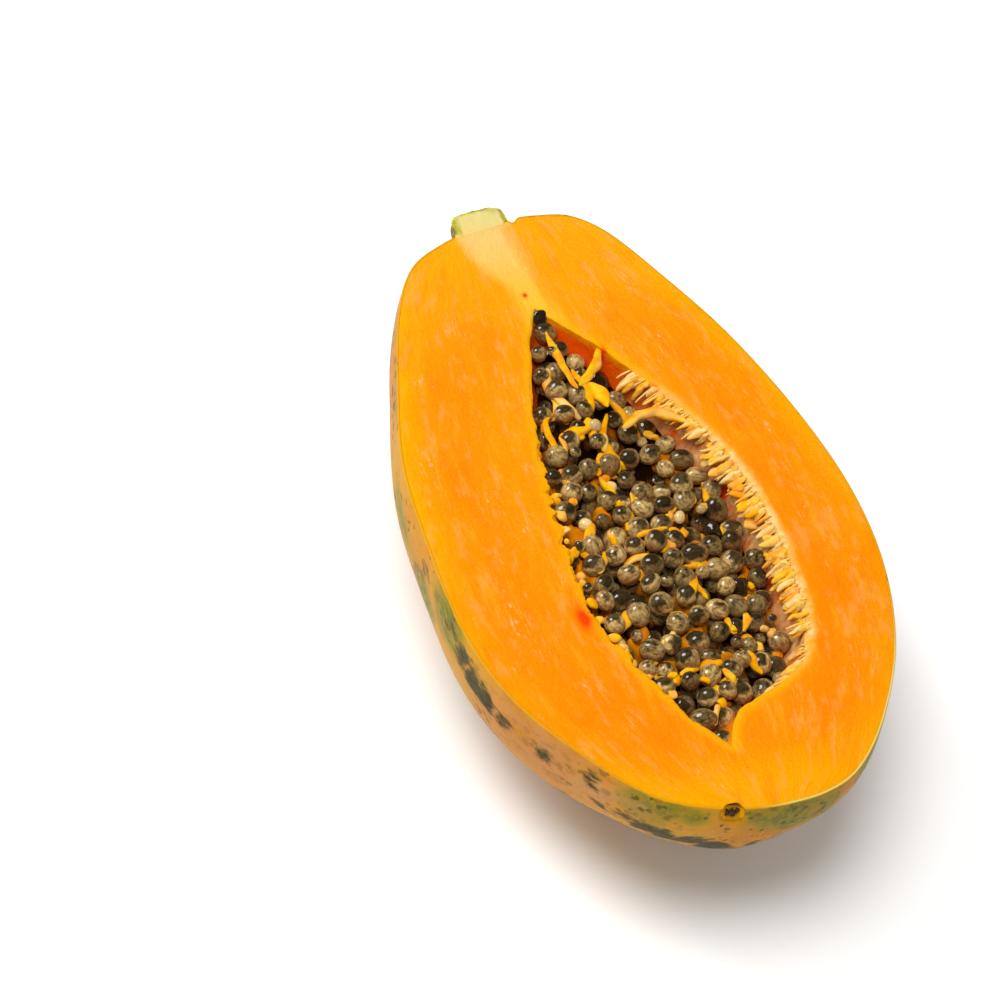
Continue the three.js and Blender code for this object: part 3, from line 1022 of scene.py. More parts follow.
@dataclass
class Skin:
    """The thin skin, from its rim at the cut to the flat spot that the half lies on."""

    bowl: Bowl
    site: Site
    scar: Scar
    thickness: float = 0.5
    columns: int = 820
    outer_rings: int = 68
    inner_rings: int = 18
    notch_x: float = 0.4
    green: Sequence[Mark] = (
        (-45, 52, 50, 14, 0.35), (-50, 75, 44, 10, 0.6), (-50, 97, 40, 9, 0.7), (-51, 110, 52, 9, 0.9),
        (-26, 165, 52, 6, 0.9), (-21, 168, 52, 6, 0.9), (-15, 172, 51, 6, 0.9), (-1, 175, 51, 6, 1.0),
        (7, 175, 50, 7, 1.0), (14, 173, 51, 8, 0.9), (25, 168, 48, 9, 0.9), (34, 158, 46, 9, 0.8),
        (4, 165, 20, 20, 0.9), (-30, 20, 30, 16, 0.9), (-8, 5, 44, 16, 1.0), (20, 10, 35, 16, 0.9),
        (46, 60, 30, 18, 0.6), (44, 130, 26, 22, 0.7), (-36, 100, 12, 18, 0.6), (10, 95, 0, 22, 0.5),
        (-12, 45, 8, 18, 0.7),
    )
    # Dark green-grey patches, partly real and partly painted shade along the flank at the blossom end.
    dusk: Sequence[Mark] = (
        (-51.4, 114, 51, 4, 0.8), (-51, 120, 49, 5, 1.0), (-50, 125, 47, 5, 1.1), (-49, 129, 47, 5, 1.0),
        (-46, 136, 45, 4, 0.7), (-41, 147, 46, 4, 0.6), (-34, 156, 50, 4, 0.7), (-31, 159, 42, 4, 0.7),
        (-28, 163, 42, 5, 0.9), (-24, 166, 41, 5, 1.1), (-20, 168, 41, 5, 1.1), (-14, 171, 39, 5, 1.2),
        (-8, 171, 35, 6, 1.2), (0, 172, 35, 5, 1.1), (8, 172, 35, 5, 1.1), (16, 169, 36, 5, 1.0),
        (24, 165, 36, 5, 0.9), (30, 159, 38, 5, 0.8), (-36, 150, 30, 8, 0.6), (38, 140, 30, 7, 0.8),
        (44, 90, 14, 7, 0.7), (-30, 60, 14, 8, 0.7),
    )
    scuffed: Sequence[Mark] = (
        (-47, 134, 45, 11, 0.9), (-42, 146, 44, 13, 1.0), (-33, 156, 46, 11, 1.0), (-26, 163, 46, 7, 0.7),
        (46, 96, 18, 12, 0.8), (-20, 70, 6, 12, 0.7),
    )

    def notch(self, points: np.ndarray) -> np.ndarray:
        """Return how far the small notch beside the stalk cuts in at points."""
        across = (points[:, 0] - self.notch_x) / 1.1
        near = across**2 + ((points[:, 2] - self.bowl.fruit.cut_height) / 4.0) ** 2
        return 1.5 * np.exp(-near) * (points[:, 1] < self.bowl.centre_along)

    def surface(self, inset: float) -> Callable[[np.ndarray], np.ndarray]:
        """Return the outer form at a depth, as a surface that the bowl can find."""
        beyond = self.bowl.fruit.beyond
        return lambda points: beyond(points) + inset + self.scar.dent(points) + self.notch(points)

    def build(self, material: bpy.types.Material) -> bpy.types.Object:
        """Make the skin: up its outside, over the rim and down its inside."""
        rings = self.outer_rings + 3 + self.inner_rings
        mesh, ring, turn = ball(self.columns, rings, "papaya_skin")
        over = ring - self.outer_rings
        dip = math.pi / 2 * np.where(
            over <= 0, (np.maximum(0, -over) / self.outer_rings) ** 1.25,
            (np.maximum(0, over - 3) / (self.inner_rings)) ** 1.2)
        inset = np.interp(over, (0, 1, 2, 3), (0.0, 0.14, self.thickness, self.thickness + 0.02))
        points = np.empty((len(ring), 3))
        for depth in np.unique(inset):
            chosen = inset == depth
            reach = self.bowl.reach(turn[chosen], dip[chosen], self.surface(depth))
            points[chosen] = self.bowl.point(turn[chosen], dip[chosen], reach)
        outer, pit = points.copy(), self.scar.share(points)
        points[over == 0, 2] -= 0.14
        points[over == 3, 2] -= 1.0
        out = points - (0.0, 92.0, self.bowl.fruit.axis_height)
        out /= np.linalg.norm(out, axis=1)[:, None]
        dents = np.array([rough(*p, 14.0) * 0.16 + rough(*p, 3.2, 2) * 0.045 for p in points])
        points += out * (dents * smoothstep(over, 0, -6))[:, None]
        low = np.where(over > 0, self.thickness, 0.0)
        points[:, 2] = np.maximum(points[:, 2], low)
        self.site.write(mesh, points)
        turn_out(mesh)
        rim = ((over >= 1) & (over <= 3)).astype(float)
        paint(mesh, "edge", np.where(over == 0, 0.5, rim))
        x, along, _ = outer.T
        # Pale line on the right of the cut edge, partly a painted highlight.
        paint(mesh, "line", rim * smoothstep(x, -4.0, 6.0) * smoothstep(along, 128, 150))
        for name, marks in (("green", self.green), ("dusk", self.dusk), ("scuffed", self.scuffed)):
            paint(mesh, name, marked(outer, marks) * (1 - rim))
        paint(mesh, "ridge", self.scar.on_ridge(outer) * 0.9)
        # The pit's dark: partly the scar's own colour, partly painted shade.
        paint(mesh, "scar", smoothstep(pit, 0.12, 0.5))
        return piece(mesh, material, "fruit_half")


def nearest(points: np.ndarray, line: np.ndarray) -> np.ndarray:
    """Return each point's distance from a dense line of points, both seen from above."""
    tree = KDTree(len(line))
    for index, (x, along) in enumerate(line[:, :2]):
        tree.insert((x, along, 0.0), index)
    tree.balance()
    return np.array([tree.find((x, along, 0.0))[2] for x, along in points[:, :2]])


@dataclass
class Flesh:
    """The flesh: cavity wall, cut face, and the side that the skin covers."""

    bowl: Bowl
    site: Site
    skin: Skin
    stub_x: float = -8.2
    stub_radius: float = 7.4
    columns: int = 900
    wall_rings: int = 34
    face_rings: int = 56
    side_rings: int = 12
    streak_left: Path = (
        (-17.0, -6, 0), (-15.6, 4.9, 0), (-14.0, 11.9, 0), (-10.6, 17.5, 0), (-7.4, 23, 0), (-7.0, 32, 0))
    streak_right: Path = (
        (0.0, -6, 0), (-2.2, 3.7, 0), (-1.8, 10.6, 0), (-1.1, 15.8, 0), (0.4, 26.1, 0), (2.6, 33, 0))
    crease: Path = ((-6.4, 175, 0), (-5.6, 171, 0), (-5.0, 167, 0))

    def rise(self, points: np.ndarray, rim: np.ndarray, core: np.ndarray, torn: np.ndarray) -> np.ndarray:
        """Return the height of the cut face's slight relief over its plane.

        Args:
            points: where.
            rim: their distances from the skin.
            core: their distances from the cavity.
            torn: how torn the cavity's edge is nearest them.

        Returns:
            Their heights.
        """
        x, along = points[:, 0], points[:, 1]
        soft = np.array([
            rough(a, b, 3.0, 11.0) * 0.3 + rough(a, b, 7.0, 3.0) * 0.07 for a, b in points[:, :2]])
        soft = soft * smoothstep(rim, 0.3, 3.0)
        edge = -0.4 * np.clip(1 - core / 1.2, 0, 1) ** 2
        edge -= torn * 1.1 * np.clip(1 - core / 3.4, 0, 1) ** 1.6
        under = smoothstep(self.stub_radius - np.abs(x - self.stub_x), 0.0, 1.0)
        under = under * smoothstep(along + 0.2 * (x + 16), 4.2, 3.4)
        fold = np.interp(along, [p[1] for p in self.crease[::-1]], [p[0] for p in self.crease[::-1]])
        fold = 0.3 * np.exp(-(((x - fold) / 0.7) ** 2)) * smoothstep(along, 166, 171)
        return soft * (1 - under) - 0.7 * under + edge - 0.03 - fold

    def torn(self, x: np.ndarray, along: np.ndarray) -> np.ndarray:
        """Return how torn and fibrous the cavity's edge is at places, from 0 to 1."""
        right = smoothstep(x - self.bowl.cavity.section(along)[0], 2.0, 8.0)
        return right * smoothstep(along, 50, 64) * smoothstep(along, 146, 134)

    def store(self, mesh: bpy.types.Mesh, points: np.ndarray, places: dict[str, np.ndarray]) -> None:
        """Store what the finish reads.

        Args:
            mesh: the flesh.
            points: its points on the smooth form.
            places: by name, each point's distances and whether it is on the wall or the covered side.
        """
        rim, core, depth = places["rim"], places["core"], places["depth"]
        wall, side = places["wall"], places["side"]
        x, along, _ = points.T
        fruit = self.bowl.fruit
        flanks = [np.interp(along, *zip(*flank)) for flank in (fruit.left_flank[:-1], fruit.right_flank[:-1])]
        half = np.maximum(np.where(x < 0, *flanks), 14.0)
        across = x * (50 / half) ** 0.75
        paint(mesh, "rim_mm", rim)
        paint(mesh, "core_mm", np.where(wall, 0.0, core))
        paint(mesh, "wall_mm", depth)
        paint(mesh, "grain", np.stack([across, along, depth], axis=1))
        left = np.interp(along, [p[1] for p in self.streak_left], [p[0] for p in self.streak_left])
        right = np.interp(along, [p[1] for p in self.streak_right], [p[0] for p in self.streak_right])
        pale = np.minimum(np.minimum(x - left, right - x), (34 - along) * 0.5)
        paint(mesh, "pale_mm", np.where(wall, -9.0, pale))
        torn = self.torn(x, along)
        cream = torn * np.where(wall, smoothstep(depth, 15, 7), smoothstep(core, 2.7, 0.9))
        cream = cream * (0.45 + 0.55 * smoothstep(along, 62, 84))
        paint(mesh, "cream", np.where(side, 0.0, cream))
        pocket = smoothstep(along, 60, 44) * smoothstep(depth, 0.6, 2.6) * 0.8
        blush = pocket
        for spot_x, spot_along, width, length, strength in (
            (-23.3, 119.4, 1.6, 3.0, 1.3), (-4.7, 25.2, 0.55, 0.7, 1.6), (25.6, 85.5, 1.4, 2.6, 1.5),
            (28.0, 113.0, 1.3, 2.0, 1.4), (16.6, 58.8, 0.9, 1.4, 1.1), (8.6, 45.6, 0.6, 1.8, 1.0),
        ):
            away = ((x - spot_x) / width) ** 2 + ((along - spot_along) / length) ** 2
            blush = np.maximum(blush, strength * np.exp(-away))
        paint(mesh, "blush", np.where(side, 0.0, blush))
        # The pit's dark: partly the scar's own colour, partly painted shade.
        paint(mesh, "scar", smoothstep(self.skin.scar.share(points), 0.15, 0.6))

    def build(self, material: bpy.types.Material) -> bpy.types.Object:
        """Make the flesh."""
        rings = self.wall_rings + self.face_rings + self.side_rings
        mesh, ring, turn = ball(self.columns, rings, "papaya_flesh")
        cavity, top = self.bowl.cavity, self.bowl.fruit.cut_height
        under_skin = self.skin.surface(self.skin.thickness - 0.06)
        face = (ring >= self.wall_rings) & (ring <= self.wall_rings + self.face_rings)
        wall, side = ring < self.wall_rings, ring > self.wall_rings + self.face_rings
        points = np.empty((len(ring), 3))
        dip = math.pi / 2 * (1 - ring[wall] / self.wall_rings) ** 2.0
        points[wall] = self.bowl.point(turn[wall], dip, self.bowl.reach(turn[wall], dip, cavity.beyond))
        level = np.zeros(face.sum())
        near = self.bowl.reach(turn[face], level, cavity.beyond)
        far = self.bowl.reach(turn[face], level, under_skin)
        share = (ring[face] - self.wall_rings) / self.face_rings
        share = share - 0.1 * np.sin(2 * math.pi * share)
        points[face] = self.bowl.point(turn[face], level, near + (far - near) * share)
        over = (ring[side] - self.wall_rings - self.face_rings) / self.side_rings
        dip = math.pi / 2 * over**1.3
        covered = self.skin.surface(self.skin.thickness * 0.6)
        points[side] = self.bowl.point(turn[side], dip, self.bowl.reach(turn[side], dip, covered))
        points[side, 2] = np.maximum(points[side, 2], self.skin.thickness * 0.6)

        dense = np.linspace(-math.pi, math.pi, 7201)
        none = np.zeros_like(dense)
        core_line = self.bowl.point(dense, none, self.bowl.reach(dense, none, cavity.beyond))
        rim_line = self.bowl.point(dense, none, self.bowl.reach(dense, none, self.skin.surface(0.0)))
        core, rim = nearest(points, core_line), nearest(points, rim_line)
        depth = np.where(wall, top - points[:, 2], 0.0)
        smooth = points.copy()
        x, along = points[:, 0].copy(), points[:, 1].copy()
        torn = self.torn(x, along)
        on_left = smoothstep(cavity.section(along)[0] - x, 2.0, 8.0)
        amount = (0.4 + 1.5 * on_left * smoothstep(along, 54, 78)) * np.where(side, 0.0, 1.0)
        rag = np.array([rough(a, b, c, 3.2) for a, b, c in points]) * amount
        rag = rag * np.exp(-(core + depth * 0.5) / 1.8)
        comb = np.array([noise.noise(Vector((b / 1.3, c / 7.0, 4.0)))
                         + noise.noise(Vector((b / 4.0, c / 4.0, 9.0)))
                         for _, b, c in points])
        comb = comb * 0.55 * torn * smoothstep(depth, 0.1, 1.2) * smoothstep(depth, 14, 8)
        flat = points[:, :2] - self.bowl.origin[:2]
        flat /= np.maximum(np.linalg.norm(flat, axis=1), 1e-6)[:, None]
        points[:, :2] += flat * (rag + comb)[:, None]
        points[face, 2] += self.rise(smooth[face], rim[face], core[face], torn[face])
        fibrous = np.array([noise.noise(Vector((b / 1.1, a / 5.0, 2.0))) for a, b, _ in smooth])
        points[face, 2] += (fibrous * torn * 0.3 * np.clip(1 - core / 3.2, 0, 1))[face]
        points[wall, 2] -= ((0.43 + 1.1 * torn) * np.exp(-depth / 1.6))[wall]
        self.site.write(mesh, points)
        turn_out(mesh)
        self.store(mesh, smooth, {"rim": rim, "core": core, "depth": depth, "wall": wall, "side": side})
        return piece(mesh, material, "fruit_half")


@dataclass
class Stub:
    """The stub of the stalk, split along its length."""

    bowl: Bowl
    site: Site
    x: float = -8.2
    root: float = 7.0
    above: float = 4.4
    radius_base: float = 8.0
    radius_top: float = 6.9
    ribs: int = 5
    rib_share: float = 0.05
    columns: int = 160
    rings: int = 96

    def build(self, material: bpy.types.Material) -> bpy.types.Object:
        """Make the stub."""
        mesh, ring, turn = ball(self.columns, self.rings, "stalk_stub")
        t = (1 - np.cos(ring / self.rings * math.pi)) / 2
        rim = (1 - np.abs(2 * t - 1) ** 7) ** (1 / 5)
        radius = (self.radius_base + (self.radius_top - self.radius_base) * t) * rim
        radius = radius * (1 + self.rib_share * np.cos(self.ribs * turn))
        top = self.bowl.fruit.cut_height
        x, z = self.x + radius * np.cos(turn), top + radius * np.sin(turn)
        along = self.root - (self.root + self.above) * t
        high = smoothstep(along, 2.0, -3.0)
        along = along + high * (0.6 - 0.16 * (x - self.x))
        points = np.stack([x, along, z], axis=1)
        bumps = np.array([rough(*p, 3.0) for p in points])
        fibres = np.array([noise.noise(Vector((a / 0.7, b / 5.0, 3.0))) for a, b, _ in points])
        foot = along + 0.2 * (x + 16)
        face = top + 0.03 + 0.1 * bumps * smoothstep(foot, 4, 2) + 0.05 * fibres
        face = face - 0.9 * smoothstep(foot, 4.2, 5.7)
        outward = np.abs(x - self.x) / radius.clip(0.1)
        face = face - 0.5 * smoothstep(outward, 0.86, 1.0) * smoothstep(along, 4, 2)
        side = z < top - 0.25
        points[:, 2] = np.where(side, np.minimum(z + bumps * 0.25, face), face)
        points[:, 1] += high * bumps * 0.45
        self.site.write(mesh, points)
        turn_out(mesh)
        left, right = self.x - x + bumps * 0.8, x - self.x + bumps * 0.6
        end = along + self.above - high * (0.6 - 0.16 * (x - self.x)) + bumps * 0.5
        green = np.maximum(smoothstep(left, 4.6, 6.2), smoothstep(right, 5.8, 6.8))
        green = np.maximum(green, smoothstep(end, 0.9, 0.2))
        lobe = np.exp(-(((x + 3.4) / 1.8) ** 2 + ((along + 4.2) / 1.5) ** 2))
        green = np.maximum(green, 0.85 * lobe) * smoothstep(along, 4.6, 2.6)
        paint(mesh, "bark", np.where(z < top - 0.3, 1.0, green))
        # Painted shade: on the sides, along the left edge and at the foot.
        shade = np.where(z < top - 0.3, 0.5, 0.0) + 0.8 * smoothstep(left, 6.4, 7.4)
        shade = shade + 0.5 * smoothstep(along, 2.5, 4.4)
        paint(mesh, "shade", np.clip(shade, 0, 1) * np.where(z < top - 0.3, 1.0, green))
        return piece(mesh, material, "stem_stub")


# ------------------------------------------------------------------------------------------------ seeds


@dataclass
class SeedPile:
    """The seeds: one layer that shows, settled by a rule, and one under it that fills its gaps, made darker
    as painted shade.
    """

    bowl: Bowl
    site: Site
    count: int = 138
    widths: tuple[float, float] = (4.1, 5.9)
    small_widths: tuple[float, float] = (2.4, 3.6)
    small_share: float = 0.12
    pale_share: float = 0.3
    broken_share: float = 0.025
    lightness: tuple[float, float] = (0.1, 0.9)
    broken_light: float = -1.0
    swell: float = 1.05
    apart: float = 1.1
    passes: int = 160
    push: float = 0.35
    sink: float = 3.2
    above_cut: float = 0.4
    drop: float = 6.0
    hollow: tuple[float, float, float, float] = (2.0, 76.0, 15.0, 5.0)
    lower_count: int = 118
    lower_by: float = 4.3
    lower_width: float = 5.0
    lower_shaded_light: float = 0.2
    tip_place: tuple[float, float, float] = (-3.0, 31.5, 1.6)
    tip_width: float = 4.2

    def top(self, x: np.ndarray, along: np.ndarray) -> np.ndarray:
        """Return the height of the pile's top at places."""
        middle, half, _ = self.bowl.cavity.section(along)
        drop = self.drop * smoothstep((x - middle) / np.maximum(half, 1e-3), -0.2, 1.0)
        hollow_x, hollow_along, reach, depth = self.hollow
        away = np.hypot(x - hollow_x, along - hollow_along) / reach
        return self.bowl.fruit.cut_height + self.above_cut - drop - depth * np.exp(-(away**2))

    def settle(self, spots: np.ndarray, widths: np.ndarray, sinks: np.ndarray) -> None:
        """Move seeds inside the cavity and down to the pile's top."""
        cavity, radius = self.bowl.cavity, widths / 2
        spots[:, 1] = np.clip(spots[:, 1], cavity.start + 2 * radius, cavity.end - 1.5 * radius)
        middle, half, depth = cavity.section(spots[:, 1])
        down = np.maximum(0.0, self.bowl.fruit.cut_height - spots[:, 2]) / np.maximum(radius, depth)
        reach = np.maximum(0.2, half * np.sqrt(np.maximum(0.0, 1 - down**2)) - radius)
        spots[:, 0] = np.clip(spots[:, 0], middle - reach, middle + reach)
        spots[:, 2] = self.top(spots[:, 0], spots[:, 1]) - radius - sinks

    def spots(self, widths: np.ndarray, skipped: int, sink: float, extra: float) -> np.ndarray:
        """Spread seeds over the cavity and push them apart until they lie side by side.

        Args:
            widths: how wide each seed is.
            skipped: how far into the sequence of places to start.
            sink: how unevenly deep they sit.
            extra: how much lower they all sit.

        Returns:
            Their middles, in fruit coordinates.
        """
        cavity = self.bowl.cavity
        found, sinks, index = [], [], skipped
        while len(found) < len(widths):
            index += 1
            a, b, c = spread(index)
            along = lerp(cavity.start, cavity.end, a)
            middle, half, _ = cavity.section(along)
            x = middle + cavity.widest_half * (2 * b - 1)
            if abs(x - middle) <= half:
                found.append((x, along, self.bowl.fruit.cut_height))
                sinks.append(sink * c**3 + extra)
        spots, sinks = np.array(found), np.array(sinks)
        self.settle(spots, widths, sinks)
        pitch = self.apart * (widths[:, None] + widths[None, :]) / 2
        for _ in range(self.passes):
            gap = spots[:, None, :] - spots[None, :, :]
            distance = np.linalg.norm(gap, axis=2)
            level = np.maximum(np.hypot(gap[..., 0], gap[..., 1]), 1e-6)
            strength = self.push * np.clip(pitch - distance, 0.0, None) * (distance > 0) / level
            spots[:, :2] += (gap[..., :2] * strength[..., None]).sum(axis=1)
            self.settle(spots, widths, sinks)
        return spots

    @cached_property
    def upper(self) -> list[Seed]:
        """The seeds of the layer that shows, each with its own width and lightness."""
        draw = random.Random(11)
        small = [draw.random() < self.small_share for _ in range(self.count)]
        widths = np.array([
            draw.uniform(*(self.small_widths if is_small else self.widths)) for is_small in small])
        found = []
        for spot, width, is_small in zip(self.spots(widths, 0, self.sink, 0.0), widths, small):
            kind, light = draw.random(), draw.uniform(*self.lightness)
            if kind < self.broken_share:
                light = self.broken_light
            pale = draw.uniform(0.3, 0.9) if is_small and kind > 1 - self.pale_share else 0.0
            found.append((spot, width * self.swell, light, pale))
        return found

    def seeds(self) -> list[Seed]:
        """List all seeds: those that show, the broken one at the tip, and the layer under them."""
        x, along, down = self.tip_place
        place = np.array([x, along, self.bowl.fruit.cut_height - down])
        tip = (place, self.tip_width, self.broken_light, 0.0)
        widths = np.full(self.lower_count, self.lower_width)
        spots = self.spots(widths, 40, 1.5, self.lower_by)
        # The layer under is kept dark as painted shade in the gaps.
        lower = [(spot, self.lower_width, self.lower_shaded_light, 0.0) for spot in spots]
        return [*self.upper, tip, *lower]

    def build(self, material: bpy.types.Material) -> bpy.types.Object:
        """Make the seeds."""
        bm = bmesh.new()
        layers = bm.verts.layers
        point = layers.float_vector.new("seed_point")
        tone, fade, core, amber = (layers.float.new(name) for name in ("tone", "pale", "core", "amber"))
        draw = random.Random(17)

        def anywhere(reach: float) -> Vector:
            return Vector([draw.uniform(-reach, reach) for _ in range(3)])

        for index, (spot, size, light, pale) in enumerate(self.seeds()):
            a, b, _ = spread(index + 1)
            turn = Matrix.Rotation(2 * math.pi * b, 3, "Z") @ Matrix.Rotation(math.acos(2 * a - 1), 3, "X")
            broken = light < 0
            taper, long, uneven = draw.uniform(-0.18, 0.18), draw.uniform(1.0, 1.22), 0.5 if broken else 0.07
            middle, shift = self.site.vector(*spot), anywhere(40)
            core_and_reflection_way = (Vector((-0.2, 0.1, 1.0)) + anywhere(0.5)).normalized()
            bounce_way = (Vector((0.2, -0.5, -0.8)) + anywhere(0.5)).normalized()
            dark, glow = draw.uniform(0.25, 1.1), draw.uniform(0.35, 1.0)
            for vert in bmesh.ops.create_icosphere(bm, subdivisions=2, radius=1.0)["verts"]:
                unit = vert.co.copy()
                dents = noise.noise(unit * 1.6 + shift) + 0.7 * noise.noise(unit * 4.0 + shift)
                bump = 1.0 + uneven * dents
                wide = 1.0 + taper * unit.z
                local = turn @ Vector((unit.x * wide, unit.y * wide, unit.z * long))
                out = local.normalized()
                vert[point] = unit + shift
                vert[tone] = max(light, -0.3)
                vert[fade] = pale
                # Dark patch near the top: partly the seed under the coat, partly a painted dark reflection.
                vert[core] = 1.4 if broken else dark * smoothstep(out.dot(core_and_reflection_way), 0.35, 0.95)
                # Painted orange bounce light on the seed's lower side.
                vert[amber] = 0.0 if broken else glow * smoothstep(out.dot(bounce_way), -0.35, 0.8)
                vert.co = middle + local * (0.5 * bump * size * MM)
        made = piece(mesh_from(bm, "papaya_seeds"), material, "seeds")
        subdivide(made)
        return made


@dataclass
class Pulp:
    """The pulp: the bed under the seeds, blobs and strands among them, and the cavity's ragged edges."""

    bowl: Bowl
    site: Site
    pile: SeedPile
    bed_below: float = 7.5
    bed_rise: float = 3.0
    fibres: int = 190
    webs: int = 96
    rim_lumps: int = 44
    tip_reach: float = 66.0
    stride: float = 2.2
    shortest_step: float = 1.2
    beside: tuple[float, float] = (3.5, 7.0)
    strands: Sequence[tuple[float, Path, Sequence[float]]] = (
        (0.5, ((-3, 36, 1), (-3, 43, 1), (-2.5, 49, 1), (-1, 55, 1.5)), (0.5, 1.3, 1.0, 0.9)),
        (0.1, ((8, 43, 1.5), (6.5, 47.5, 1.5), (3, 51, 1.5), (-0.5, 54, 2)), (0.9, 1.5, 1.5, 0.9)),
        (0.15, ((2, 53, 2), (4, 57, 2), (4.5, 62, 2)), (1.4, 2.1, 1.2)),
        (0.1, ((5.5, 68, 2), (11, 65, 2), (17, 66, 1.5), (23, 71, 1)), (1.0, 1.6, 1.6, 1.0)),
    )

    def bed(self, material: bpy.types.Material) -> bpy.types.Object:
        """Make the wet bed that the seeds sit in."""
        rings = 70
        mesh, ring, turn = ball(200, rings, "pulp_bed")
        dip = np.full(len(turn), 0.09)
        share = 0.93 * np.sin(ring / rings * math.pi) ** 0.7
        reach = self.bowl.reach(turn, dip, self.bowl.cavity.beyond)
        points = self.bowl.point(turn, dip, reach * share)
        bumps = np.array([rough(x, along, 0.0, 4.0) for x, along, _ in points])
        lobes = np.array([noise.noise(Vector((x / 6.5, along / 6.5, 2.0))) for x, along, _ in points])
        fine = np.array([noise.noise(Vector((x / 1.6, along / 1.6, 5.0))) for x, along, _ in points])
        jelly = smoothstep(lobes + 0.4 * fine, 0.02, 0.34) * smoothstep(points[:, 1], 56, 74)
        top = self.pile.top(points[:, 0], points[:, 1]) - self.bed_below
        top = top + bumps * 1.2 + fine * 1.1 + jelly * self.bed_rise
        floor = self.bowl.fruit.cut_height - self.bowl.cavity.section(points[:, 1])[2] * 0.5
        points[:, 2] = np.maximum(top, floor) - np.where(ring > rings / 2, 2.5, 0.0)
        self.site.write(mesh, points)
        turn_out(mesh)
        paint(mesh, "pale", np.zeros(len(points)))
        # The bed is painted dark brown to near black as shade in the gaps between seeds.
        paint(mesh, "deep", 1 - 0.42 * jelly)
        return piece(mesh, material, "seeds")

    def limbs(self) -> list[tuple[Path, Sequence[float], float, float]]:
        """List the soft parts: path, thickness, how pale and how like amber each is."""
        cavity, cut = self.bowl.cavity, self.bowl.fruit.cut_height
        draw = random.Random(5)
        found: list[tuple[Path, Sequence[float], float, float]] = []

        def edge(along: float, right: bool) -> float:
            middle, half, _ = cavity.section(along)
            return float(middle + half if right else middle - half)

        for _ in range(self.fibres):
            along = draw.uniform(52.0, 146.0)
            rim = edge(along, True)
            long, lean, out = draw.uniform(1.5, 5.5), draw.uniform(-1.4, 1.4), draw.uniform(-0.6, 1.6)
            thick, reach = 0.28 + 0.85 * draw.random() ** 2.0, draw.uniform(1.2, 5.0)
            path = (
                (rim + out, along, cut - 0.4 - 0.25 * (2.4 - out)),
                (rim - 0.2, along + lean * 0.3, cut - 1.0),
                (rim - 0.5 * reach, along + lean * 0.6, cut - 1.0 - 0.4 * long),
                (rim - reach, along + lean, cut - 1.5 - 0.85 * long),
            )
            found.append((path, (thick * 0.6, thick, thick * 1.1, thick), draw.uniform(0.25, 1.0), 0.0))
        for pale, points, thickness in self.strands:
            found.append((tuple((x, place, cut - down) for x, place, down in points), thickness, pale, 0.0))
        for _ in range(self.rim_lumps):
            right = draw.random() < 0.5
            along = draw.uniform(60.0, 130.0) if right else draw.uniform(84.0, 146.0)
            thick, lean = draw.uniform(0.8, 1.6), draw.uniform(-2.6, 2.6)
            inward = -draw.uniform(1.5, 6.0) if right else draw.uniform(0.8, 3.8)
            down = cut - thick - (draw.uniform(0.6, 3.0) if right else draw.uniform(0.1, 0.8))
            rim = edge(along, right)
            path = (
                (rim, along, down - 0.4), (rim + 0.5 * inward, along + lean * 0.5, down),
                (rim + inward, along + lean, down - 0.6),
            )
            found.append((path, (thick * 0.7, thick, thick * 0.7), draw.uniform(0.0, 0.8), 0.0))
        gaps = self.gaps()
        for _ in range(self.webs):
            found.append(self.web(gaps, draw))
        return found

    def gaps(self) -> np.ndarray:
        """Return the places midway between seeds that lie side by side."""
        spots = np.array([spot[:2] for spot, *_ in self.pile.upper])
        first, second = np.triu_indices(len(spots), 1)
        apart = np.linalg.norm(spots[first] - spots[second], axis=1)
        nearest_gap, widest_gap = self.beside
        beside = (apart > nearest_gap) & (apart < widest_gap)
        return (spots[first[beside]] + spots[second[beside]]) / 2

    def web(self, gaps: np.ndarray, draw: random.Random) -> tuple[Path, Sequence[float], float, float]:
        """Lay one soft strand from gap to gap between the seeds.

        Args:
            gaps: the places between seeds.
            draw: the source of random numbers.

        Returns:
            Its path, its thickness along it, how pale and how like amber it is.
        """
        thick = draw.uniform(0.9, 1.75)
        way = [gaps[draw.randrange(len(gaps))]]
        heading = draw.uniform(-math.pi, math.pi)
        steps = draw.choice((2, 3, 4) if way[0][1] < self.tip_reach else (1, 1, 2))
        for _ in range(steps):
            step = gaps - way[-1]
            length = np.linalg.norm(step, axis=1)
            ahead = step @ np.array([math.cos(heading), math.sin(heading)])
            fit = ahead - 1.5 * np.abs(length - self.stride)
            fit[length < self.shortest_step] = -np.inf
            way.append(gaps[int(np.argmax(fit))])
            heading = math.atan2(*(way[-1] - way[-2])[::-1]) + draw.uniform(-0.5, 0.5)
        places = np.array(way)
        height = self.pile.top(places[:, 0], places[:, 1]) - thick - draw.uniform(0.3, 2.4)
        height[[0, -1]] -= 0.5
        thickness = [thick * draw.uniform(0.7, 1.1) for _ in way]
        pale = draw.uniform(0.4, 0.85) if draw.random() < 0.35 else draw.uniform(0.0, 0.3)
        deep = draw.uniform(0.1, 0.35) if draw.random() < 0.3 else 0.0
        path = tuple((x, along, z) for (x, along), z in zip(places, height))
        return path, thickness, pale, deep

    def build(self, material: bpy.types.Material) -> bpy.types.Object:
        """Make the soft parts."""
        bm = bmesh.new()
        values: dict[str, list[float]] = {"pale": [], "deep": []}
        for path, thickness, pale, deep in self.limbs():
            fine = max(thickness) < 0.6
            sides, rings = (6, 7) if fine else (8, 13 if len(path) > 3 else 9)
            lumps, squash = (0.35, 1.0) if fine else (0.6, 0.75)
            added = limb(bm, self.site, path, thickness, lumps, sides, rings, squash)
            values["pale"] += [pale] * added
            values["deep"] += [deep] * added
        mesh = mesh_from(bm, "papaya_pulp")
        turn_out(mesh)
        for name, numbers in values.items():
            paint(mesh, name, np.array(numbers))
        made = piece(mesh, material)
        subdivide(made)
        return made


# ------------------------------------------------------------------------------------------------ studio


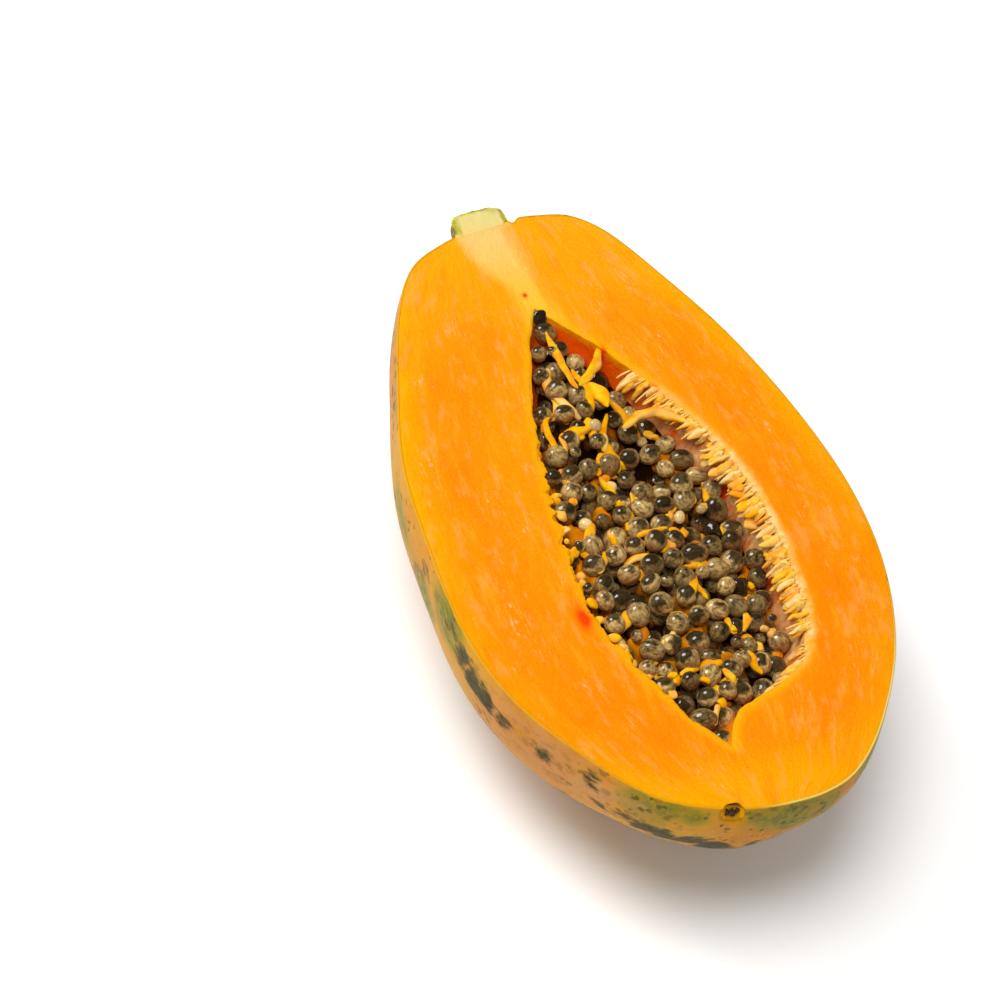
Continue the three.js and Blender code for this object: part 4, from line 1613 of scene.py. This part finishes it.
@dataclass
class Studio:
    """The white floor, the light and the camera."""

    azimuth: float = 30.33
    elevation: float = 50.0
    roll: float = 15.0
    camera_place: tuple[float, float, float] = (-0.23539, -0.34726, 0.536)
    lens: float = 100.0
    lamps: Sequence[tuple[str, float, float, tuple[float, float, float], bool]] = (
        ("key", 4.4, 0.5, (-0.49, 0.51, 0.7), True), ("fill", 8.0, 0.5, (-0.27, -0.1, 0.96), False))
    ambient: float = 0.44
    reflected: float = 0.02

    def axes(self) -> tuple[Vector, Vector, Vector]:
        """Return the camera's right, up and backward directions."""
        azimuth, elevation, roll = (math.radians(v) for v in (self.azimuth, self.elevation, self.roll))
        ahead = Vector((math.sin(azimuth), math.cos(azimuth), 0.0))
        level = Vector((math.cos(azimuth), -math.sin(azimuth), 0.0))
        rise = ahead * math.sin(elevation) + Vector((0.0, 0.0, math.cos(elevation)))
        back = ahead * -math.cos(elevation) + Vector((0.0, 0.0, math.sin(elevation)))
        right = level * math.cos(roll) + rise * math.sin(roll)
        up = rise * math.cos(roll) - level * math.sin(roll)
        return right, up, back

    def camera(self) -> None:
        """Add the camera."""
        data = bpy.data.cameras.new("camera")
        data.lens = self.lens
        data.sensor_width = 36.0
        made = bpy.data.objects.new("camera", data)
        bpy.context.scene.collection.objects.link(made)
        right, up, back = self.axes()
        turn = Matrix((right, up, back)).transposed().to_4x4()
        made.matrix_world = Matrix.Translation(Vector(self.camera_place)) @ turn
        bpy.context.scene.camera = made

    def floor(self) -> None:
        """Add the floor."""
        bm = bmesh.new()
        bmesh.ops.create_grid(bm, x_segments=4, y_segments=4, size=8.0)
        made = bpy.data.objects.new("floor", mesh_from(bm, "floor"))
        bpy.context.scene.collection.objects.link(made)
        finish = Finish("white_floor", roughness=0.6, specular=0.2)
        material, graph, shader = finish.start()
        paper = graph.noise(graph.place(), 30.0, 3.0)
        color = graph.mix(paper, (0.93, 0.93, 0.93, 1.0), (0.95, 0.95, 0.95, 1.0))
        graph.feed(shader.inputs["Base Color"], color)
        made.data.materials.append(material)

    def light(self) -> None:
        """Add the lamps, and a white world that is dimmer as light than as backdrop."""
        for name, power, size, place, glossy in self.lamps:
            data = bpy.data.lights.new(name, "AREA")
            data.shape = "DISK"
            data.size = size
            data.energy = power
            made = bpy.data.objects.new(name, data)
            made.visible_glossy = glossy
            bpy.context.scene.collection.objects.link(made)
            turn = Vector(place).to_track_quat("Z", "Y").to_matrix().to_4x4()
            made.matrix_world = Matrix.Translation(Vector(place)) @ turn
        world = bpy.data.worlds.new("white_room")
        world.use_nodes = True
        graph = Graph(world.node_tree)
        background = world.node_tree.nodes["Background"]
        background.inputs["Color"].default_value = (1.0, 1.0, 1.0, 1.0)
        rays = graph.add("ShaderNodeLightPath").outputs
        strength = graph.math("MULTIPLY_ADD", rays["Is Glossy Ray"], self.reflected - self.ambient)
        strength.node.inputs[2].default_value = self.ambient
        strength = graph.math("MAXIMUM", strength, rays["Is Camera Ray"])
        graph.feed(background.inputs["Strength"], strength)
        bpy.context.scene.world = world
        bpy.context.scene.view_settings.view_transform = "Standard"

    def build(self) -> None:
        """Add all of it."""
        self.camera()
        self.floor()
        self.light()


def main() -> None:
    """Build the scene."""
    logging.basicConfig(level=logging.INFO, format="%(relativeCreated)6d ms %(message)s")
    Studio().build()
    fruit = FruitForm()
    bowl = Bowl(fruit, CavityForm(cut_height=fruit.cut_height))
    site = Site.of(fruit)
    log.info("fruit coordinates start at x %.2f, y %.2f mm", site.x, site.shoulder)
    scar = Scar(bowl, site)
    skin = Skin(bowl, site, scar)
    flesh = Flesh(bowl, site, skin)
    pile = SeedPile(bowl, site)
    pulp = Pulp(bowl, site, pile)
    skin.build(SkinFinish("papaya_skin", roughness=0.5, specular=0.1, tint=WARM, coat=0.03,
                          coat_roughness=0.25, glow=0.1, glow_reach=0.002).build())
    flesh.build(FleshFinish("papaya_flesh", roughness=0.42, specular=0.1, tint=WARM, glow=0.25,
                            glow_reach=0.004).build())
    Stub(bowl, site).build(StalkFinish("stalk", roughness=0.6, specular=0.2, glow=0.1,
                                       glow_reach=0.002).build())
    scar.build(ScarFinish("blossom_scar", roughness=0.8, specular=0.15).build())
    pile.build(SeedFinish("seed_coat", roughness=0.4, specular=0.12, tint=WARM, coat=1.0, coat_roughness=0.12,
                          coat_index=1.75).build())
    soft = PulpFinish("papaya_pulp", roughness=0.35, specular=0.12, tint=WARM, coat=0.1, coat_roughness=0.15,
                      glow=0.1, glow_reach=0.0015).build()
    pulp.bed(soft)
    pulp.build(soft)


if __name__ == "__main__":
    main()
